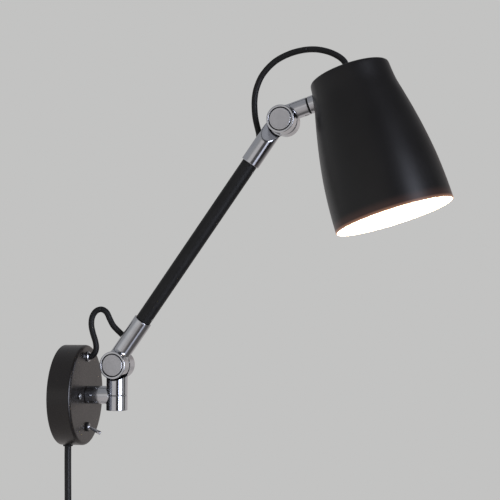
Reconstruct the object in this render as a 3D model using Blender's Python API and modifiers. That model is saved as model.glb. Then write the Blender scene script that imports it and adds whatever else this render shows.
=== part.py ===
"""Swing arm wall sconce: canopy with toggle, swivel post, arm between two lap knuckles, and a turned shade.

Metres, +Z up. The wall is the plane Y = 0 and the lamp stands out along -Y. The origin is the centre of the
mounting plate's back face.
"""
import math

import bmesh
import bpy
from mathutils import Matrix, Vector

MM = 0.001
GAP = 0.3 * MM                      # between pieces that touch

# canopy and mounting plate
CANOPY_R = 51.0 * MM
CANOPY_DEPTH = 24.5 * MM
CANOPY_SHEET = 1.5 * MM
CANOPY_FILLET = 3.0 * MM
PLATE_R = 47.0 * MM
PLATE_T = 2.0 * MM
SCREW_SPREAD = 24.3 * MM            # cover screws, either side of the centre
GROMMET_UP = 39.0 * MM              # flex grommet above the centre
TOGGLE_DOWN = 32.5 * MM             # toggle below the centre
TOGGLE_TILT = 27.0                  # degrees below straight out, switched on
TOGGLE_LENGTH = 14.4 * MM

# wall post and swivel
POST_R = 9.25 * MM
BARREL_R = 10.8 * MM
SWIVEL_OUT = 56.4 * MM              # swivel axis from the wall
BARREL_BOTTOM = -15.3 * MM
SWIVEL_YAW = -6.0                   # degrees about +Z from straight out

# lap knuckles
KNUCKLE_R = 14.0 * MM
KNUCKLE_HALF = 13.5 * MM            # centre plane to outer face
LOWER_PIVOT_UP = 30.8 * MM
CAP_R = 11.3 * MM
CAP_T = 1.6 * MM
LAP_CLEAR = 0.6 * MM                # radial clearance round a disc

# arm
ARM_LENGTH = 300.0 * MM             # pivot to pivot
ARM_RISE = 54.0                     # degrees above horizontal
ROD_R = 9.6 * MM
ROD_OFFSET = 3.9 * MM               # rod axis above the line through the pivots
BRACKET_LENGTH = 53.4 * MM          # pivot to the end of a bracket
TUBE_R = 8.0 * MM
TUBE_BORE = 6.5 * MM

# head and shade
HEAD_TILT = 17.0                    # stub above horizontal, and shade axis from vertical
STUB_R = 8.7 * MM
STUB_OFFSET = 5.6 * MM
STUB_LENGTH = 28.7 * MM
RING_T = 0.7 * MM
SHADE_REACH = 76.1 * MM             # upper pivot to the shade axis, along the stub
SHADE_DROP = 126.4 * MM             # stub line through the pivot down to the mouth
SHADE_HEIGHT = 148.0 * MM
SHADE_SHEET = 1.2 * MM
SHADE_FILLET = 2.0 * MM
SHADE_OUTLINE = [(0.0, 58.3), (25.0, 57.6), (49.0, 55.8), (73.0, 52.6), (96.0, 48.5), (114.0, 44.7),
                 (128.5, 41.5), (141.5, 40.1), (148.0, 39.6)]     # height and radius, mm

# leads and mains cord
FLEX_R = 3.0 * MM
FLEX_HOLE = 3.5 * MM
CORD_R = 3.5 * MM
CORD_OUT = 4.3 * MM                 # cord centre from the wall
COIL_DROP = 185.0 * MM              # coil centre below the origin
COIL_MEAN_R = 42.0 * MM
COIL_TURNS = 3                      # turns of spiral in each of two layers

COLOURS = {
    "satin_black": ((0.020, 0.020, 0.021), 0.42, 0.0),
    "white_enamel": ((0.86, 0.85, 0.82), 0.5, 0.0),
    "polished_steel": ((0.60, 0.61, 0.63), 0.18, 1.0),
    "satin_steel": ((0.52, 0.52, 0.54), 0.38, 1.0),
    "zinc_steel": ((0.45, 0.46, 0.47), 0.45, 1.0),
    "brass": ((0.70, 0.52, 0.25), 0.3, 1.0),
    "black_rubber": ((0.015, 0.015, 0.015), 0.7, 0.0),
    "black_plastic": ((0.018, 0.018, 0.019), 0.45, 0.0),
    "white_plastic": ((0.80, 0.79, 0.76), 0.4, 0.0),
    "opal_glass": ((0.92, 0.90, 0.86), 0.3, 0.0),
}


def clear_scene():
    for obj in list(bpy.data.objects):
        bpy.data.objects.remove(obj, do_unlink=True)


def new_collection(name):
    collection = bpy.data.collections.new(name)
    bpy.context.scene.collection.children.link(collection)
    return collection


clear_scene()
PARTS = new_collection("swing_arm_wall_sconce")
CUTTERS = new_collection("cutters")


def material(name):
    """A Principled BSDF for one finish, made once."""
    found = bpy.data.materials.get(name)
    if found:
        return found
    colour, roughness, metallic = COLOURS[name]
    made = bpy.data.materials.new(name)
    made.use_nodes = True
    shader = made.node_tree.nodes["Principled BSDF"]
    shader.inputs["Base Color"].default_value = (*colour, 1.0)
    shader.inputs["Roughness"].default_value = roughness
    shader.inputs["Metallic"].default_value = metallic
    return made


def frame(name, parent=None, location=(0.0, 0.0, 0.0), turn_x=0.0, turn_z=0.0):
    """An empty that carries a group of pieces; turns are in degrees."""
    empty = bpy.data.objects.new(name, None)
    PARTS.objects.link(empty)
    empty.parent = parent
    empty.location = location
    empty.rotation_euler = (math.radians(turn_x), 0.0, math.radians(turn_z))
    return empty


def place(name, mesh, parent, finish=None):
    """Put a mesh in the model: a part when it has a finish, otherwise a cutter."""
    obj = bpy.data.objects.new(name, mesh)
    obj.parent = parent
    if finish:
        PARTS.objects.link(obj)
        mesh.materials.append(material(finish))
        mesh.shade_smooth()
        mesh.set_sharp_from_angle(angle=math.radians(35.0))
    else:
        CUTTERS.objects.link(obj)
        obj.hide_render = True
        obj.display_type = "WIRE"
    return obj


def along(start, end):
    """The matrix that stands +Z at the midpoint of start-end, pointing to end."""
    start, end = Vector(start), Vector(end)
    turn = (end - start).to_track_quat("Z", "Y").to_matrix().to_4x4()
    return Matrix.Translation((start + end) / 2.0) @ turn


def rod(name, parent, start, end, radius, finish=None, sides=32, end_radius=None):
    """A cylinder, or a cone where end_radius is given, from start to end."""
    mesh = bpy.data.meshes.new(name)
    shape = bmesh.new()
    depth = (Vector(end) - Vector(start)).length
    top = radius if end_radius is None else end_radius
    bmesh.ops.create_cone(shape, cap_ends=True, segments=sides, radius1=radius, radius2=top, depth=depth,
                          matrix=along(start, end))
    shape.to_mesh(mesh)
    shape.free()
    return place(name, mesh, parent, finish)


def block(name, parent, centre, size, finish=None):
    mesh = bpy.data.meshes.new(name)
    shape = bmesh.new()
    scale = Matrix.Diagonal((*size, 1.0))
    bmesh.ops.create_cube(shape, size=1.0, matrix=Matrix.Translation(centre) @ scale)
    shape.to_mesh(mesh)
    shape.free()
    return place(name, mesh, parent, finish)


def turned(name, parent, profile, finish=None, steps=32, closed=False, base=(0.0, 0.0, 0.0), axis="Z"):
    """A profile of (radius, height) points turned about an axis through base. It runs down its outer side."""
    mesh = bpy.data.meshes.new(name)
    shape = bmesh.new()
    points = [shape.verts.new((radius, 0.0, height)) for radius, height in profile]
    for first, second in zip(points, points[1:]):
        shape.edges.new((first, second))
    if closed:
        shape.edges.new((points[-1], points[0]))
    shape.to_mesh(mesh)
    shape.free()
    obj = place(name, mesh, parent, finish)
    obj.location = base
    if axis == "X":
        obj.rotation_euler = (0.0, math.radians(90.0), 0.0)
    screw = obj.modifiers.new("turn", "SCREW")
    screw.steps = steps
    screw.render_steps = steps
    screw.use_merge_vertices = True
    screw.merge_threshold = 0.00001
    screw.use_normal_calculate = False
    return obj


def ring(name, parent, outer, inner, low, high, finish=None, steps=32, base=(0.0, 0.0, 0.0), axis="Z"):
    """A flat ring between two heights."""
    profile = [(outer, high), (outer, low), (inner, low), (inner, high)]
    return turned(name, parent, profile, finish, steps, True, base, axis)


def combine(obj, other, operation):
    change = obj.modifiers.new(other.name, "BOOLEAN")
    change.operation = operation
    change.solver = "EXACT"
    change.object = other


def cut(obj, *cutters):
    for cutter in cutters:
        combine(obj, cutter, "DIFFERENCE")


def join(obj, *others):
    for other in others:
        combine(obj, other, "UNION")


def arc(centre, radius, first, last, count):
    """Points on an arc, angles in degrees from +radius towards +height."""
    points = []
    for index in range(count + 1):
        angle = math.radians(first + (last - first) * index / count)
        points.append((centre[0] + radius * math.cos(angle), centre[1] + radius * math.sin(angle)))
    return points


def smooth_route(points, spacing):
    """Points at an even spacing on a Catmull-Rom curve through the given ones."""
    points = [Vector(point) for point in points]
    padded = [2 * points[0] - points[1], *points, 2 * points[-1] - points[-2]]
    fine = []
    for a, b, c, d in zip(padded, padded[1:], padded[2:], padded[3:]):
        for step in range(20):
            t = step / 20.0
            fine.append(0.5 * (2 * b + (c - a) * t + (2 * a - 5 * b + 4 * c - d) * t ** 2
                               + (3 * b - a - 3 * c + d) * t ** 3))
    fine.append(points[-1])
    total = sum((q - p).length for p, q in zip(fine, fine[1:]))
    count = max(2, round(total / spacing))
    route, travelled, target = [fine[0]], 0.0, total / count
    for p, q in zip(fine, fine[1:]):
        length = (q - p).length
        while travelled + length >= target - 1e-9 and len(route) < count:
            route.append(p.lerp(q, (target - travelled) / length))
            target += total / count
        travelled += length
    route.append(fine[-1])
    return route


def cable(name, parent, points, radius, finish, resolution=2):
    """A cord as a POLY curve with a round bevel and filled caps."""
    data = bpy.data.curves.new(name, "CURVE")
    data.dimensions = "3D"
    data.bevel_depth = radius
    data.bevel_resolution = resolution
    data.use_fill_caps = True
    spline = data.splines.new("POLY")
    spline.points.add(len(points) - 1)
    for slot, point in zip(spline.points, points):
        slot.co = (*point, 1.0)
    data.materials.append(material(finish))
    obj = bpy.data.objects.new(name, data)
    PARTS.objects.link(obj)
    obj.parent = parent
    return obj


def hex_nut(name, parent, across, bore, low, high, finish, base=(0.0, 0.0, 0.0), axis="Z"):
    """A hexagon nut between two heights on the axis through base."""
    unit = Vector((1.0, 0.0, 0.0)) if axis == "X" else Vector((0.0, 0.0, 1.0))
    base = Vector(base)
    body = rod(name, parent, base + unit * low, base + unit * high, across / math.sqrt(3.0), finish, 6)
    hole = rod(name + "_hole", parent, base + unit * (low - MM), base + unit * (high + MM), bore, sides=12)
    cut(body, hole)
    return body


# ---------------------------------------------------------------- frames
BASE = frame("base_frame", turn_x=90.0)                      # local +Z points out of the wall, +Y up
SWIVEL = frame("swivel_frame", location=(0.0, -SWIVEL_OUT, 0.0), turn_z=SWIVEL_YAW)
ELBOW = frame("elbow_frame", SWIVEL, (0.0, 0.0, LOWER_PIVOT_UP), turn_x=90.0 - ARM_RISE)
HEAD = frame("head_frame", ELBOW, (0.0, 0.0, ARM_LENGTH), turn_x=ARM_RISE - HEAD_TILT)
SHADE = frame("shade_frame", HEAD, (0.0, -SHADE_DROP, SHADE_REACH), turn_x=-90.0)   # +Z up the shade's axis
TOGGLE = frame("toggle_frame", BASE, (0.0, -TOGGLE_DOWN, CANOPY_DEPTH + 1.8 * MM), turn_x=TOGGLE_TILT)


# ---------------------------------------------------------------- canopy
def canopy():
    outer_arc = arc((CANOPY_R - CANOPY_FILLET, CANOPY_DEPTH - CANOPY_FILLET), CANOPY_FILLET, 90.0, 0.0, 3)
    inside = CANOPY_R - CANOPY_SHEET
    profile = [(0.0, CANOPY_DEPTH), *outer_arc, (CANOPY_R, 0.0), (inside, 0.0),
               (inside, CANOPY_DEPTH - CANOPY_FILLET), (inside - CANOPY_SHEET, CANOPY_DEPTH - CANOPY_SHEET),
               (0.0, CANOPY_DEPTH - CANOPY_SHEET)]
    shell = turned("canopy", BASE, profile, "satin_black", 40)
    shell.rotation_euler.z = math.radians(2.0)          # keeps the facets' edges off the holes' corners
    front, behind = CANOPY_DEPTH + MM, CANOPY_DEPTH - CANOPY_SHEET - MM
    holes = [("post_hole", 0.0, 0.0, 5.3 * MM), ("grommet_hole", 0.0, GROMMET_UP, 4.8 * MM),
             ("toggle_hole", 0.0, -TOGGLE_DOWN, 3.3 * MM), ("screw_hole_left", -SCREW_SPREAD, 0.0, 2.1 * MM),
             ("screw_hole_right", SCREW_SPREAD, 0.0, 2.1 * MM)]
    for name, x, y, radius in holes:
        cut(shell, rod(name, BASE, (x, y, behind), (x, y, front), radius, sides=16))
    notch = 5.6 * MM
    mouth = rod("cord_notch", BASE, (0.0, -CANOPY_R - MM, CORD_OUT), (0.0, -CANOPY_R + 4.0 * MM, CORD_OUT),
                notch, sides=20)
    slot = block("cord_slot", BASE, (0.0, -CANOPY_R + 1.5 * MM, CORD_OUT / 2.0 - MM),
                 (2.0 * notch - 0.5 * MM, 5.0 * MM, CORD_OUT + 2.0 * MM))
    cut(shell, mouth, slot)


def mounting_plate():
    plate = rod("mounting_plate", BASE, (0.0, 0.0, 0.0), (0.0, 0.0, PLATE_T), PLATE_R, "zinc_steel", 32)
    top = CANOPY_DEPTH - CANOPY_SHEET - GAP
    for side, name in ((-1.0, "left"), (1.0, "right")):
        x = side * SCREW_SPREAD
        join(plate, rod("pillar_" + name, BASE, (x, 0.0, MM), (x, 0.0, top), 3.6 * MM, sides=6))
        cut(plate, rod("pillar_bore_" + name, BASE, (x, 0.0, top - 9.0 * MM), (x, 0.0, top + MM), 2.0 * MM,
                       sides=12))
        for height in (-30.0 * MM, 30.0 * MM):
            hole = rod("wall_hole_%s_%d" % (name, height > 0.0), BASE, (x * 0.8, height, -MM),
                       (x * 0.8, height, PLATE_T + MM), 2.4 * MM, sides=12)
            cut(plate, hole)
    cut(plate, block("cord_relief", BASE, (0.0, -PLATE_R + 6.0 * MM, MM), (13.0 * MM, 18.0 * MM, 4.0 * MM)))


def cover_screw(name, x):
    """Pan head screw through the canopy into a pillar, with a slot."""
    front = CANOPY_DEPTH + GAP
    profile = [(0.0, front + 1.7 * MM), (1.8 * MM, front + 1.6 * MM), (2.9 * MM, front + 0.9 * MM), (3.1 * MM, front),
               (1.7 * MM, front), (1.7 * MM, front - 9.0 * MM), (0.0, front - 9.0 * MM)]
    screw = turned(name, BASE, profile, "zinc_steel", 16, base=(x, 0.0, 0.0))
    cut(screw, block(name + "_slot", BASE, (x, 0.0, front + 1.6 * MM), (0.8 * MM, 8.0 * MM, 1.4 * MM)))


def wall_post():
    """The horizontal post, the lower half of the swivel barrel, and the threaded spigot behind."""
    post = rod("wall_post", BASE, (0.0, 0.0, CANOPY_DEPTH + GAP), (0.0, 0.0, SWIVEL_OUT), POST_R, "polished_steel", 24)
    spigot = rod("post_spigot", BASE, (0.0, 0.0, 14.5 * MM), (0.0, 0.0, SWIVEL_OUT - 20.0 * MM), 5.0 * MM, sides=12)
    barrel = rod("lower_barrel", SWIVEL, (0.0, 0.0, BARREL_BOTTOM), (0.0, 0.0, -GAP / 2.0), BARREL_R, sides=20)
    relief = rod("barrel_relief", SWIVEL, (0.0, 0.0, -GAP / 2.0), (0.0, 0.0, 20.0 * MM), BARREL_R + 0.5 * MM, sides=20)
    bore = rod("swivel_bore", SWIVEL, (0.0, 0.0, -20.0 * MM), (0.0, 0.0, MM), 4.3 * MM, sides=12)
    head_room = rod("swivel_counterbore", SWIVEL, (0.0, 0.0, -20.0 * MM), (0.0, 0.0, -8.0 * MM), 7.6 * MM, sides=20)
    join(post, spigot, barrel)
    cut(post, relief, bore, head_room)
    ring("post_washer", BASE, 9.0 * MM, 5.3 * MM, 21.5 * MM, 22.7 * MM, "zinc_steel", 14)
    hex_nut("post_nut", BASE, 15.0 * MM, 5.3 * MM, 16.6 * MM, 21.2 * MM, "zinc_steel")


def canopy_fittings():
    """Grommet, cord bush and clamp, terminal block and earth screw."""
    front = CANOPY_DEPTH + GAP
    flange = [(4.3 * MM, front + 2.2 * MM), (5.1 * MM, front + 1.5 * MM), (5.3 * MM, front), (4.3 * MM, front),
              (4.3 * MM, 21.5 * MM), (3.7 * MM, 21.5 * MM), (3.7 * MM, front + 2.2 * MM)]
    turned("flex_grommet", BASE, flange, "polished_steel", 16, True, (0.0, GROMMET_UP, 0.0))
    bush_outer = CANOPY_R - CANOPY_SHEET - 3.0 * MM
    bush = rod("cord_bush", BASE, (0.0, -CANOPY_R - 1.6 * MM, CORD_OUT), (0.0, -bush_outer, CORD_OUT), 5.2 * MM,
               "black_rubber", 20)
    bush_hole = rod("bush_hole", BASE, (0.0, -CANOPY_R - 3.0 * MM, CORD_OUT),
                    (0.0, -bush_outer + MM, CORD_OUT), CORD_R + GAP, sides=16)
    trim = block("bush_trim", BASE, (0.0, -CANOPY_R, -1.8 * MM), (20.0 * MM, 20.0 * MM, 4.0 * MM))
    cut(bush, bush_hole, trim)
    clamp = block("cord_clamp", BASE, (0.0, -37.0 * MM, 9.5 * MM), (18.0 * MM, 6.0 * MM, 2.6 * MM), "zinc_steel")
    cut(clamp, rod("clamp_hole", BASE, (6.5 * MM, -37.0 * MM, 6.0 * MM), (6.5 * MM, -37.0 * MM, 13.0 * MM), 1.8 * MM,
                   sides=12))
    small_screw("cord_clamp_screw", (6.5 * MM, -37.0 * MM), 11.1 * MM, 8.0 * MM, "zinc_steel")
    terminal = block("terminal_block", BASE, (-15.0 * MM, 17.0 * MM, 8.0 * MM), (20.0 * MM, 12.0 * MM, 11.0 * MM),
                     "white_plastic")
    for index in range(2):
        x = (-20.0 + 10.0 * index) * MM
        cut(terminal, rod("terminal_bore_%d" % index, BASE, (x, 17.0 * MM, 9.0 * MM), (x, 17.0 * MM, 15.0 * MM),
                          1.6 * MM, sides=12))
    small_screw("earth_screw", (15.0 * MM, 17.0 * MM), PLATE_T + GAP, 0.0, "brass")


def small_screw(name, centre, seat, shank, finish):
    """A cheese head screw seated at a height, with a shank of the given length and a slot."""
    x, y = centre
    profile = [(0.0, seat + 2.0 * MM), (2.8 * MM, seat + 2.0 * MM), (2.8 * MM, seat)]
    if shank:
        profile += [(1.4 * MM, seat), (1.4 * MM, seat - shank)]
    profile.append((0.0, seat - shank))
    screw = turned(name, BASE, profile, finish, 16, base=(x, y, 0.0))
    cut(screw, block(name + "_slot", BASE, (x, y, seat + 2.0 * MM), (0.8 * MM, 8.0 * MM, 1.6 * MM)))


def toggle_switch():
    pivot = CANOPY_DEPTH + 1.8 * MM
    y = -TOGGLE_DOWN
    inside = CANOPY_DEPTH - CANOPY_SHEET - GAP
    body = block("toggle_body", BASE, (0.0, y, inside - 4.5 * MM), (13.0 * MM, 8.0 * MM, 9.0 * MM), "black_plastic")
    bushing = rod("toggle_bushing", BASE, (0.0, y, inside - 2.0 * MM), (0.0, y, CANOPY_DEPTH + 3.0 * MM), 3.0 * MM,
                  sides=12)
    socket = rod("toggle_socket", BASE, (0.0, y, pivot - 2.4 * MM), (0.0, y, CANOPY_DEPTH + 4.0 * MM), 2.3 * MM, sides=12)
    join(body, bushing)
    cut(body, socket)
    hex_nut("toggle_nut", BASE, 8.6 * MM, 3.3 * MM, CANOPY_DEPTH + GAP, CANOPY_DEPTH + 2.2 * MM, "black_plastic",
            (0.0, y, 0.0))
    ball = [(0.0, -1.8 * MM), *arc((0.0, 0.0), 1.8 * MM, -60.0, 58.0, 4)]
    profile = [(0.0, TOGGLE_LENGTH), (1.75 * MM, TOGGLE_LENGTH), (1.95 * MM, TOGGLE_LENGTH - 0.25 * MM),
               (1.9 * MM, TOGGLE_LENGTH - 3.0 * MM), (1.2 * MM, 2.8 * MM), *reversed(ball)]
    turned("toggle_lever", TOGGLE, profile, "polished_steel", 16)


# ---------------------------------------------------------------- lap knuckles
def disc(name, parent, side, sides=28):
    """Half of a knuckle: a disc on side -1 or +1, begun past the centre plane, where a relief trims it flat."""
    return rod(name, parent, (-side * MM, 0.0, 0.0), (side * KNUCKLE_HALF, 0.0, 0.0), KNUCKLE_R, sides=sides)


def knuckle_bores(obj, name, parent, side):
    """The pivot bore, the pocket for a bolt head or nut, and the recess for the cap."""
    face = side * (KNUCKLE_HALF + MM)
    pocket_floor = side * 6.2 * MM
    cap_floor = side * (KNUCKLE_HALF - CAP_T - 0.5 * MM)
    inner = -side * MM
    cut(obj,
        rod(name + "_bore", parent, (inner, 0.0, 0.0), (face, 0.0, 0.0), 4.3 * MM, sides=12),
        rod(name + "_pocket", parent, (pocket_floor, 0.0, 0.0), (face, 0.0, 0.0), 8.2 * MM, sides=20),
        rod(name + "_recess", parent, (cap_floor, 0.0, 0.0), (face, 0.0, 0.0), CAP_R + 0.45 * MM, sides=28))
    if side > 0:
        cut(obj, rod(name + "_washer_seat", parent, (inner, 0.0, 0.0), (MM, 0.0, 0.0), 11.3 * MM, sides=32))


def lap_relief(obj, name, parent, side, outer):
    """Clear the half of a rod that passes the other disc: a cylinder round the pivot and a scooped shoulder."""
    near, far = side * -0.2 * MM, side * 25.0 * MM
    cut(obj,
        rod(name + "_relief", parent, (near, 0.0, 0.0), (far, 0.0, 0.0), KNUCKLE_R + LAP_CLEAR, sides=28),
        rod(name + "_scoop", parent, (side * 1.0 * MM, 0.0, 0.0), (far, 0.0, 0.0), KNUCKLE_R + LAP_CLEAR, sides=28,
            end_radius=KNUCKLE_R + outer))


def knuckle_hardware(prefix, parent):
    """Pivot bolt with a socket head in front, nut behind, disc spring and friction washer."""
    bolt = rod(prefix + "_pivot_bolt", parent, (-10.4 * MM, 0.0, 0.0), (-6.5 * MM, 0.0, 0.0), 7.2 * MM, "zinc_steel", 16)
    join(bolt, rod(prefix + "_pivot_shank", parent, (-7.0 * MM, 0.0, 0.0), (11.0 * MM, 0.0, 0.0), 4.0 * MM, sides=12))
    cut(bolt, rod(prefix + "_pivot_socket", parent, (-12.0 * MM, 0.0, 0.0), (-8.0 * MM, 0.0, 0.0), 3.4 * MM, sides=6))
    hex_nut(prefix + "_pivot_nut", parent, 12.5 * MM, 4.3 * MM, 7.7 * MM, 10.9 * MM, "zinc_steel", axis="X")
    ring(prefix + "_disc_spring", parent, 7.4 * MM, 4.3 * MM, 6.5 * MM, 7.4 * MM, "zinc_steel", 14, axis="X")
    ring(prefix + "_friction_washer", parent, 11.0 * MM, 4.6 * MM, 0.1 * MM, 0.7 * MM, "black_plastic", 16, axis="X")


def knuckle_cap(name, parent, side):
    outer = side * (KNUCKLE_HALF + 0.1 * MM)
    rod(name, parent, (outer - side * CAP_T, 0.0, 0.0), (outer, 0.0, 0.0), CAP_R, "satin_steel", 28)


# ---------------------------------------------------------------- swivel
def swivel():
    barrel = rod("swivel_barrel", SWIVEL, (0.0, 0.0, GAP / 2.0), (0.0, 0.0, LOWER_PIVOT_UP), BARREL_R,
                 "polished_steel", 24)
    join(barrel, disc("swivel_disc", ELBOW, 1.0))
    saddle = rod("swivel_saddle", ELBOW, (-25.0 * MM, 0.0, 0.0), (0.2 * MM, 0.0, 0.0), KNUCKLE_R + LAP_CLEAR, sides=28)
    bolt_bore = rod("swivel_thread", SWIVEL, (0.0, 0.0, -MM), (0.0, 0.0, 11.0 * MM), 4.3 * MM, sides=12)
    cut(barrel, saddle, bolt_bore)
    knuckle_bores(barrel, "swivel", ELBOW, 1.0)
    bolt = rod("swivel_bolt", SWIVEL, (0.0, 0.0, -14.6 * MM), (0.0, 0.0, -9.7 * MM), 6.6 * MM, "zinc_steel", 16)
    join(bolt, rod("swivel_shank", SWIVEL, (0.0, 0.0, -11.0 * MM), (0.0, 0.0, 10.6 * MM), 4.0 * MM, sides=12))
    cut(bolt, rod("swivel_socket", SWIVEL, (0.0, 0.0, -16.0 * MM), (0.0, 0.0, -12.0 * MM), 3.2 * MM, sides=6))
    ring("swivel_washer", SWIVEL, 7.2 * MM, 4.4 * MM, -9.4 * MM, -8.3 * MM, "zinc_steel", 16)
    knuckle_hardware("lower", ELBOW)
    knuckle_cap("lower_cap_rear", ELBOW, 1.0)


# ---------------------------------------------------------------- arm
def bracket(name, parent, knuckle, side, start, end):
    """A rod from a knuckle to the tube, with the disc on one side and the relief on the other."""
    body = rod(name, parent, (0.0, ROD_OFFSET, start), (0.0, ROD_OFFSET, end), ROD_R, "polished_steel", 24)
    join(body, disc(name + "_disc", knuckle, side))
    lap_relief(body, name, knuckle, -side, 32.0 * MM)
    knuckle_bores(body, name, knuckle, side)
    return body


def arm():
    top = ARM_LENGTH - BRACKET_LENGTH
    wire_r = 4.0 * MM
    spigot_r = TUBE_BORE - GAP

    lower = bracket("arm_lower_bracket", ELBOW, ELBOW, -1.0, 0.0, BRACKET_LENGTH - GAP)
    join(lower, rod("lower_spigot", ELBOW, (0.0, ROD_OFFSET, BRACKET_LENGTH - 2.0 * MM),
                    (0.0, ROD_OFFSET, BRACKET_LENGTH + 12.0 * MM), spigot_r, sides=20))
    lower_hole = flex_hole("lower_flex_hole", LOWER_ENTRY, LOWER_ENTRY_WAY, 12.0 * MM, FLEX_HOLE)
    lower_wire = rod("lower_wire_bore", ELBOW, (0.0, ROD_OFFSET, LOWER_ENTRY.z - 3.5 * MM),
                     (0.0, ROD_OFFSET, BRACKET_LENGTH + 13.0 * MM), wire_r, sides=12)
    cut(lower, lower_wire, lower_hole)
    knuckle_cap("lower_cap_front", ELBOW, -1.0)

    upper_pivot = frame("upper_pivot_frame", ELBOW, (0.0, 0.0, ARM_LENGTH))
    upper = bracket("arm_upper_bracket", ELBOW, upper_pivot, 1.0, top + GAP, ARM_LENGTH)
    join(upper, rod("upper_spigot", ELBOW, (0.0, ROD_OFFSET, top - 12.0 * MM), (0.0, ROD_OFFSET, top + 2.0 * MM),
                    spigot_r, sides=20))
    upper_hole = flex_hole("upper_flex_hole", UPPER_ENTRY, UPPER_ENTRY_WAY, 14.0 * MM, FLEX_HOLE)
    upper_wire = rod("upper_wire_bore", ELBOW, (0.0, ROD_OFFSET, top - 13.0 * MM),
                     (0.0, ROD_OFFSET, UPPER_ENTRY.z - 7.0 * MM), wire_r, sides=12)
    cut(upper, upper_wire, upper_hole)
    knuckle_cap("upper_cap_rear", upper_pivot, 1.0)
    knuckle_hardware("upper", upper_pivot)

    tube = ring("arm_tube", ELBOW, TUBE_R, TUBE_BORE, BRACKET_LENGTH, top, "satin_black", 24,
                (0.0, ROD_OFFSET, 0.0))
    for name, height in (("lower_grub_screw", BRACKET_LENGTH + 6.0 * MM), ("upper_grub_screw", top - 6.0 * MM)):
        y = ROD_OFFSET - TUBE_R
        cut(tube, rod(name + "_hole", ELBOW, (0.0, y - MM, height), (0.0, y + 3.0 * MM, height), 1.8 * MM, sides=12))
        rod(name, ELBOW, (0.0, y - 0.2 * MM, height), (0.0, y + 1.5 * MM, height), 1.5 * MM, "zinc_steel", 12)
    rod("inner_lead", ELBOW, (0.0, ROD_OFFSET, LOWER_ENTRY.z + FLEX_R + 0.6 * MM),
        (0.0, ROD_OFFSET, UPPER_ENTRY.z - 13.5 * MM), FLEX_R, "black_rubber", 12)


def entry(z, turn):
    """A point on the upper side of the arm's rod, turned towards the far side, in the elbow frame."""
    angle = math.radians(turn)
    return Vector((ROD_R * math.sin(angle), ROD_OFFSET + ROD_R * math.cos(angle), z))


def inward(turn, lean):
    """The way in at such a point, leaning down the arm by some degrees."""
    angle, lean = math.radians(turn), math.radians(lean)
    return Vector((-math.sin(angle) * math.cos(lean), -math.cos(angle) * math.cos(lean), -math.sin(lean)))


LOWER_ENTRY, LOWER_ENTRY_WAY = entry(27.0 * MM, 18.0), inward(18.0, 0.0)
UPPER_ENTRY, UPPER_ENTRY_WAY = entry(ARM_LENGTH - 26.0 * MM, 18.0), inward(18.0, 42.0)


def flex_hole(name, point, way, depth, radius):
    return rod(name, ELBOW, point - way * 8.0 * MM, point + way * depth, radius, sides=16)


# ---------------------------------------------------------------- head
def head():
    """The front disc and the stub that carries the shade."""
    knuckle = rod("head_knuckle", HEAD, (0.0, STUB_OFFSET, -0.4 * MM), (0.0, STUB_OFFSET, STUB_LENGTH), STUB_R,
                  "polished_steel", 24)
    join(knuckle, disc("head_disc", HEAD, -1.0))
    lap_relief(knuckle, "head", HEAD, 1.0, 12.0 * MM)
    knuckle_bores(knuckle, "head", HEAD, -1.0)
    pin_bore = rod("head_pin_bore", HEAD, (0.0, STUB_OFFSET, 20.0 * MM), (0.0, STUB_OFFSET, STUB_LENGTH + MM), 3.3 * MM,
                   sides=12)
    grub_y = STUB_OFFSET - STUB_R
    grub_bore = rod("head_grub_bore", HEAD, (0.0, grub_y - MM, 24.5 * MM), (0.0, STUB_OFFSET, 24.5 * MM), 2.0 * MM, sides=12)
    cut(knuckle, pin_bore, grub_bore)
    rod("head_grub_screw", HEAD, (0.0, grub_y + 0.4 * MM, 24.5 * MM), (0.0, grub_y + 5.9 * MM, 24.5 * MM), 1.7 * MM,
        "zinc_steel", 12)
    ring("head_ring", HEAD, STUB_R - 0.4 * MM, 3.3 * MM, STUB_LENGTH + GAP, STUB_LENGTH + GAP + RING_T, "black_rubber",
         20, (0.0, STUB_OFFSET, 0.0))
    knuckle_cap("upper_cap_front", HEAD, -1.0)


def outline_radius(height):
    """The shade's outer radius at a height above its mouth, by a cubic through SHADE_OUTLINE."""
    points = [(z * MM, r * MM) for z, r in SHADE_OUTLINE]
    points = [(2 * points[0][0] - points[1][0], points[0][1]), *points]
    points.append((2 * points[-1][0] - points[-2][0], 2 * points[-1][1] - points[-2][1]))
    for (z0, r0), (z1, r1), (z2, r2), (z3, r3) in zip(points, points[1:], points[2:], points[3:]):
        if height <= z2 + 1e-9:
            break
    t = (height - z1) / (z2 - z1)
    start_slope = (r2 - r0) / (z2 - z0) * (z2 - z1)
    end_slope = (r3 - r1) / (z3 - z1) * (z2 - z1)
    return (r1 * (2 * t ** 3 - 3 * t ** 2 + 1) + start_slope * (t ** 3 - 2 * t ** 2 + t)
            + r2 * (3 * t ** 2 - 2 * t ** 3) + end_slope * (t ** 3 - t ** 2))


def shade_side(offset, top, bottom, count):
    """Points down the shade's side, moved out by an offset."""
    heights = [top + (bottom - top) * index / count for index in range(count + 1)]
    return [(outline_radius(height) + offset, height) for height in heights]


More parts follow.
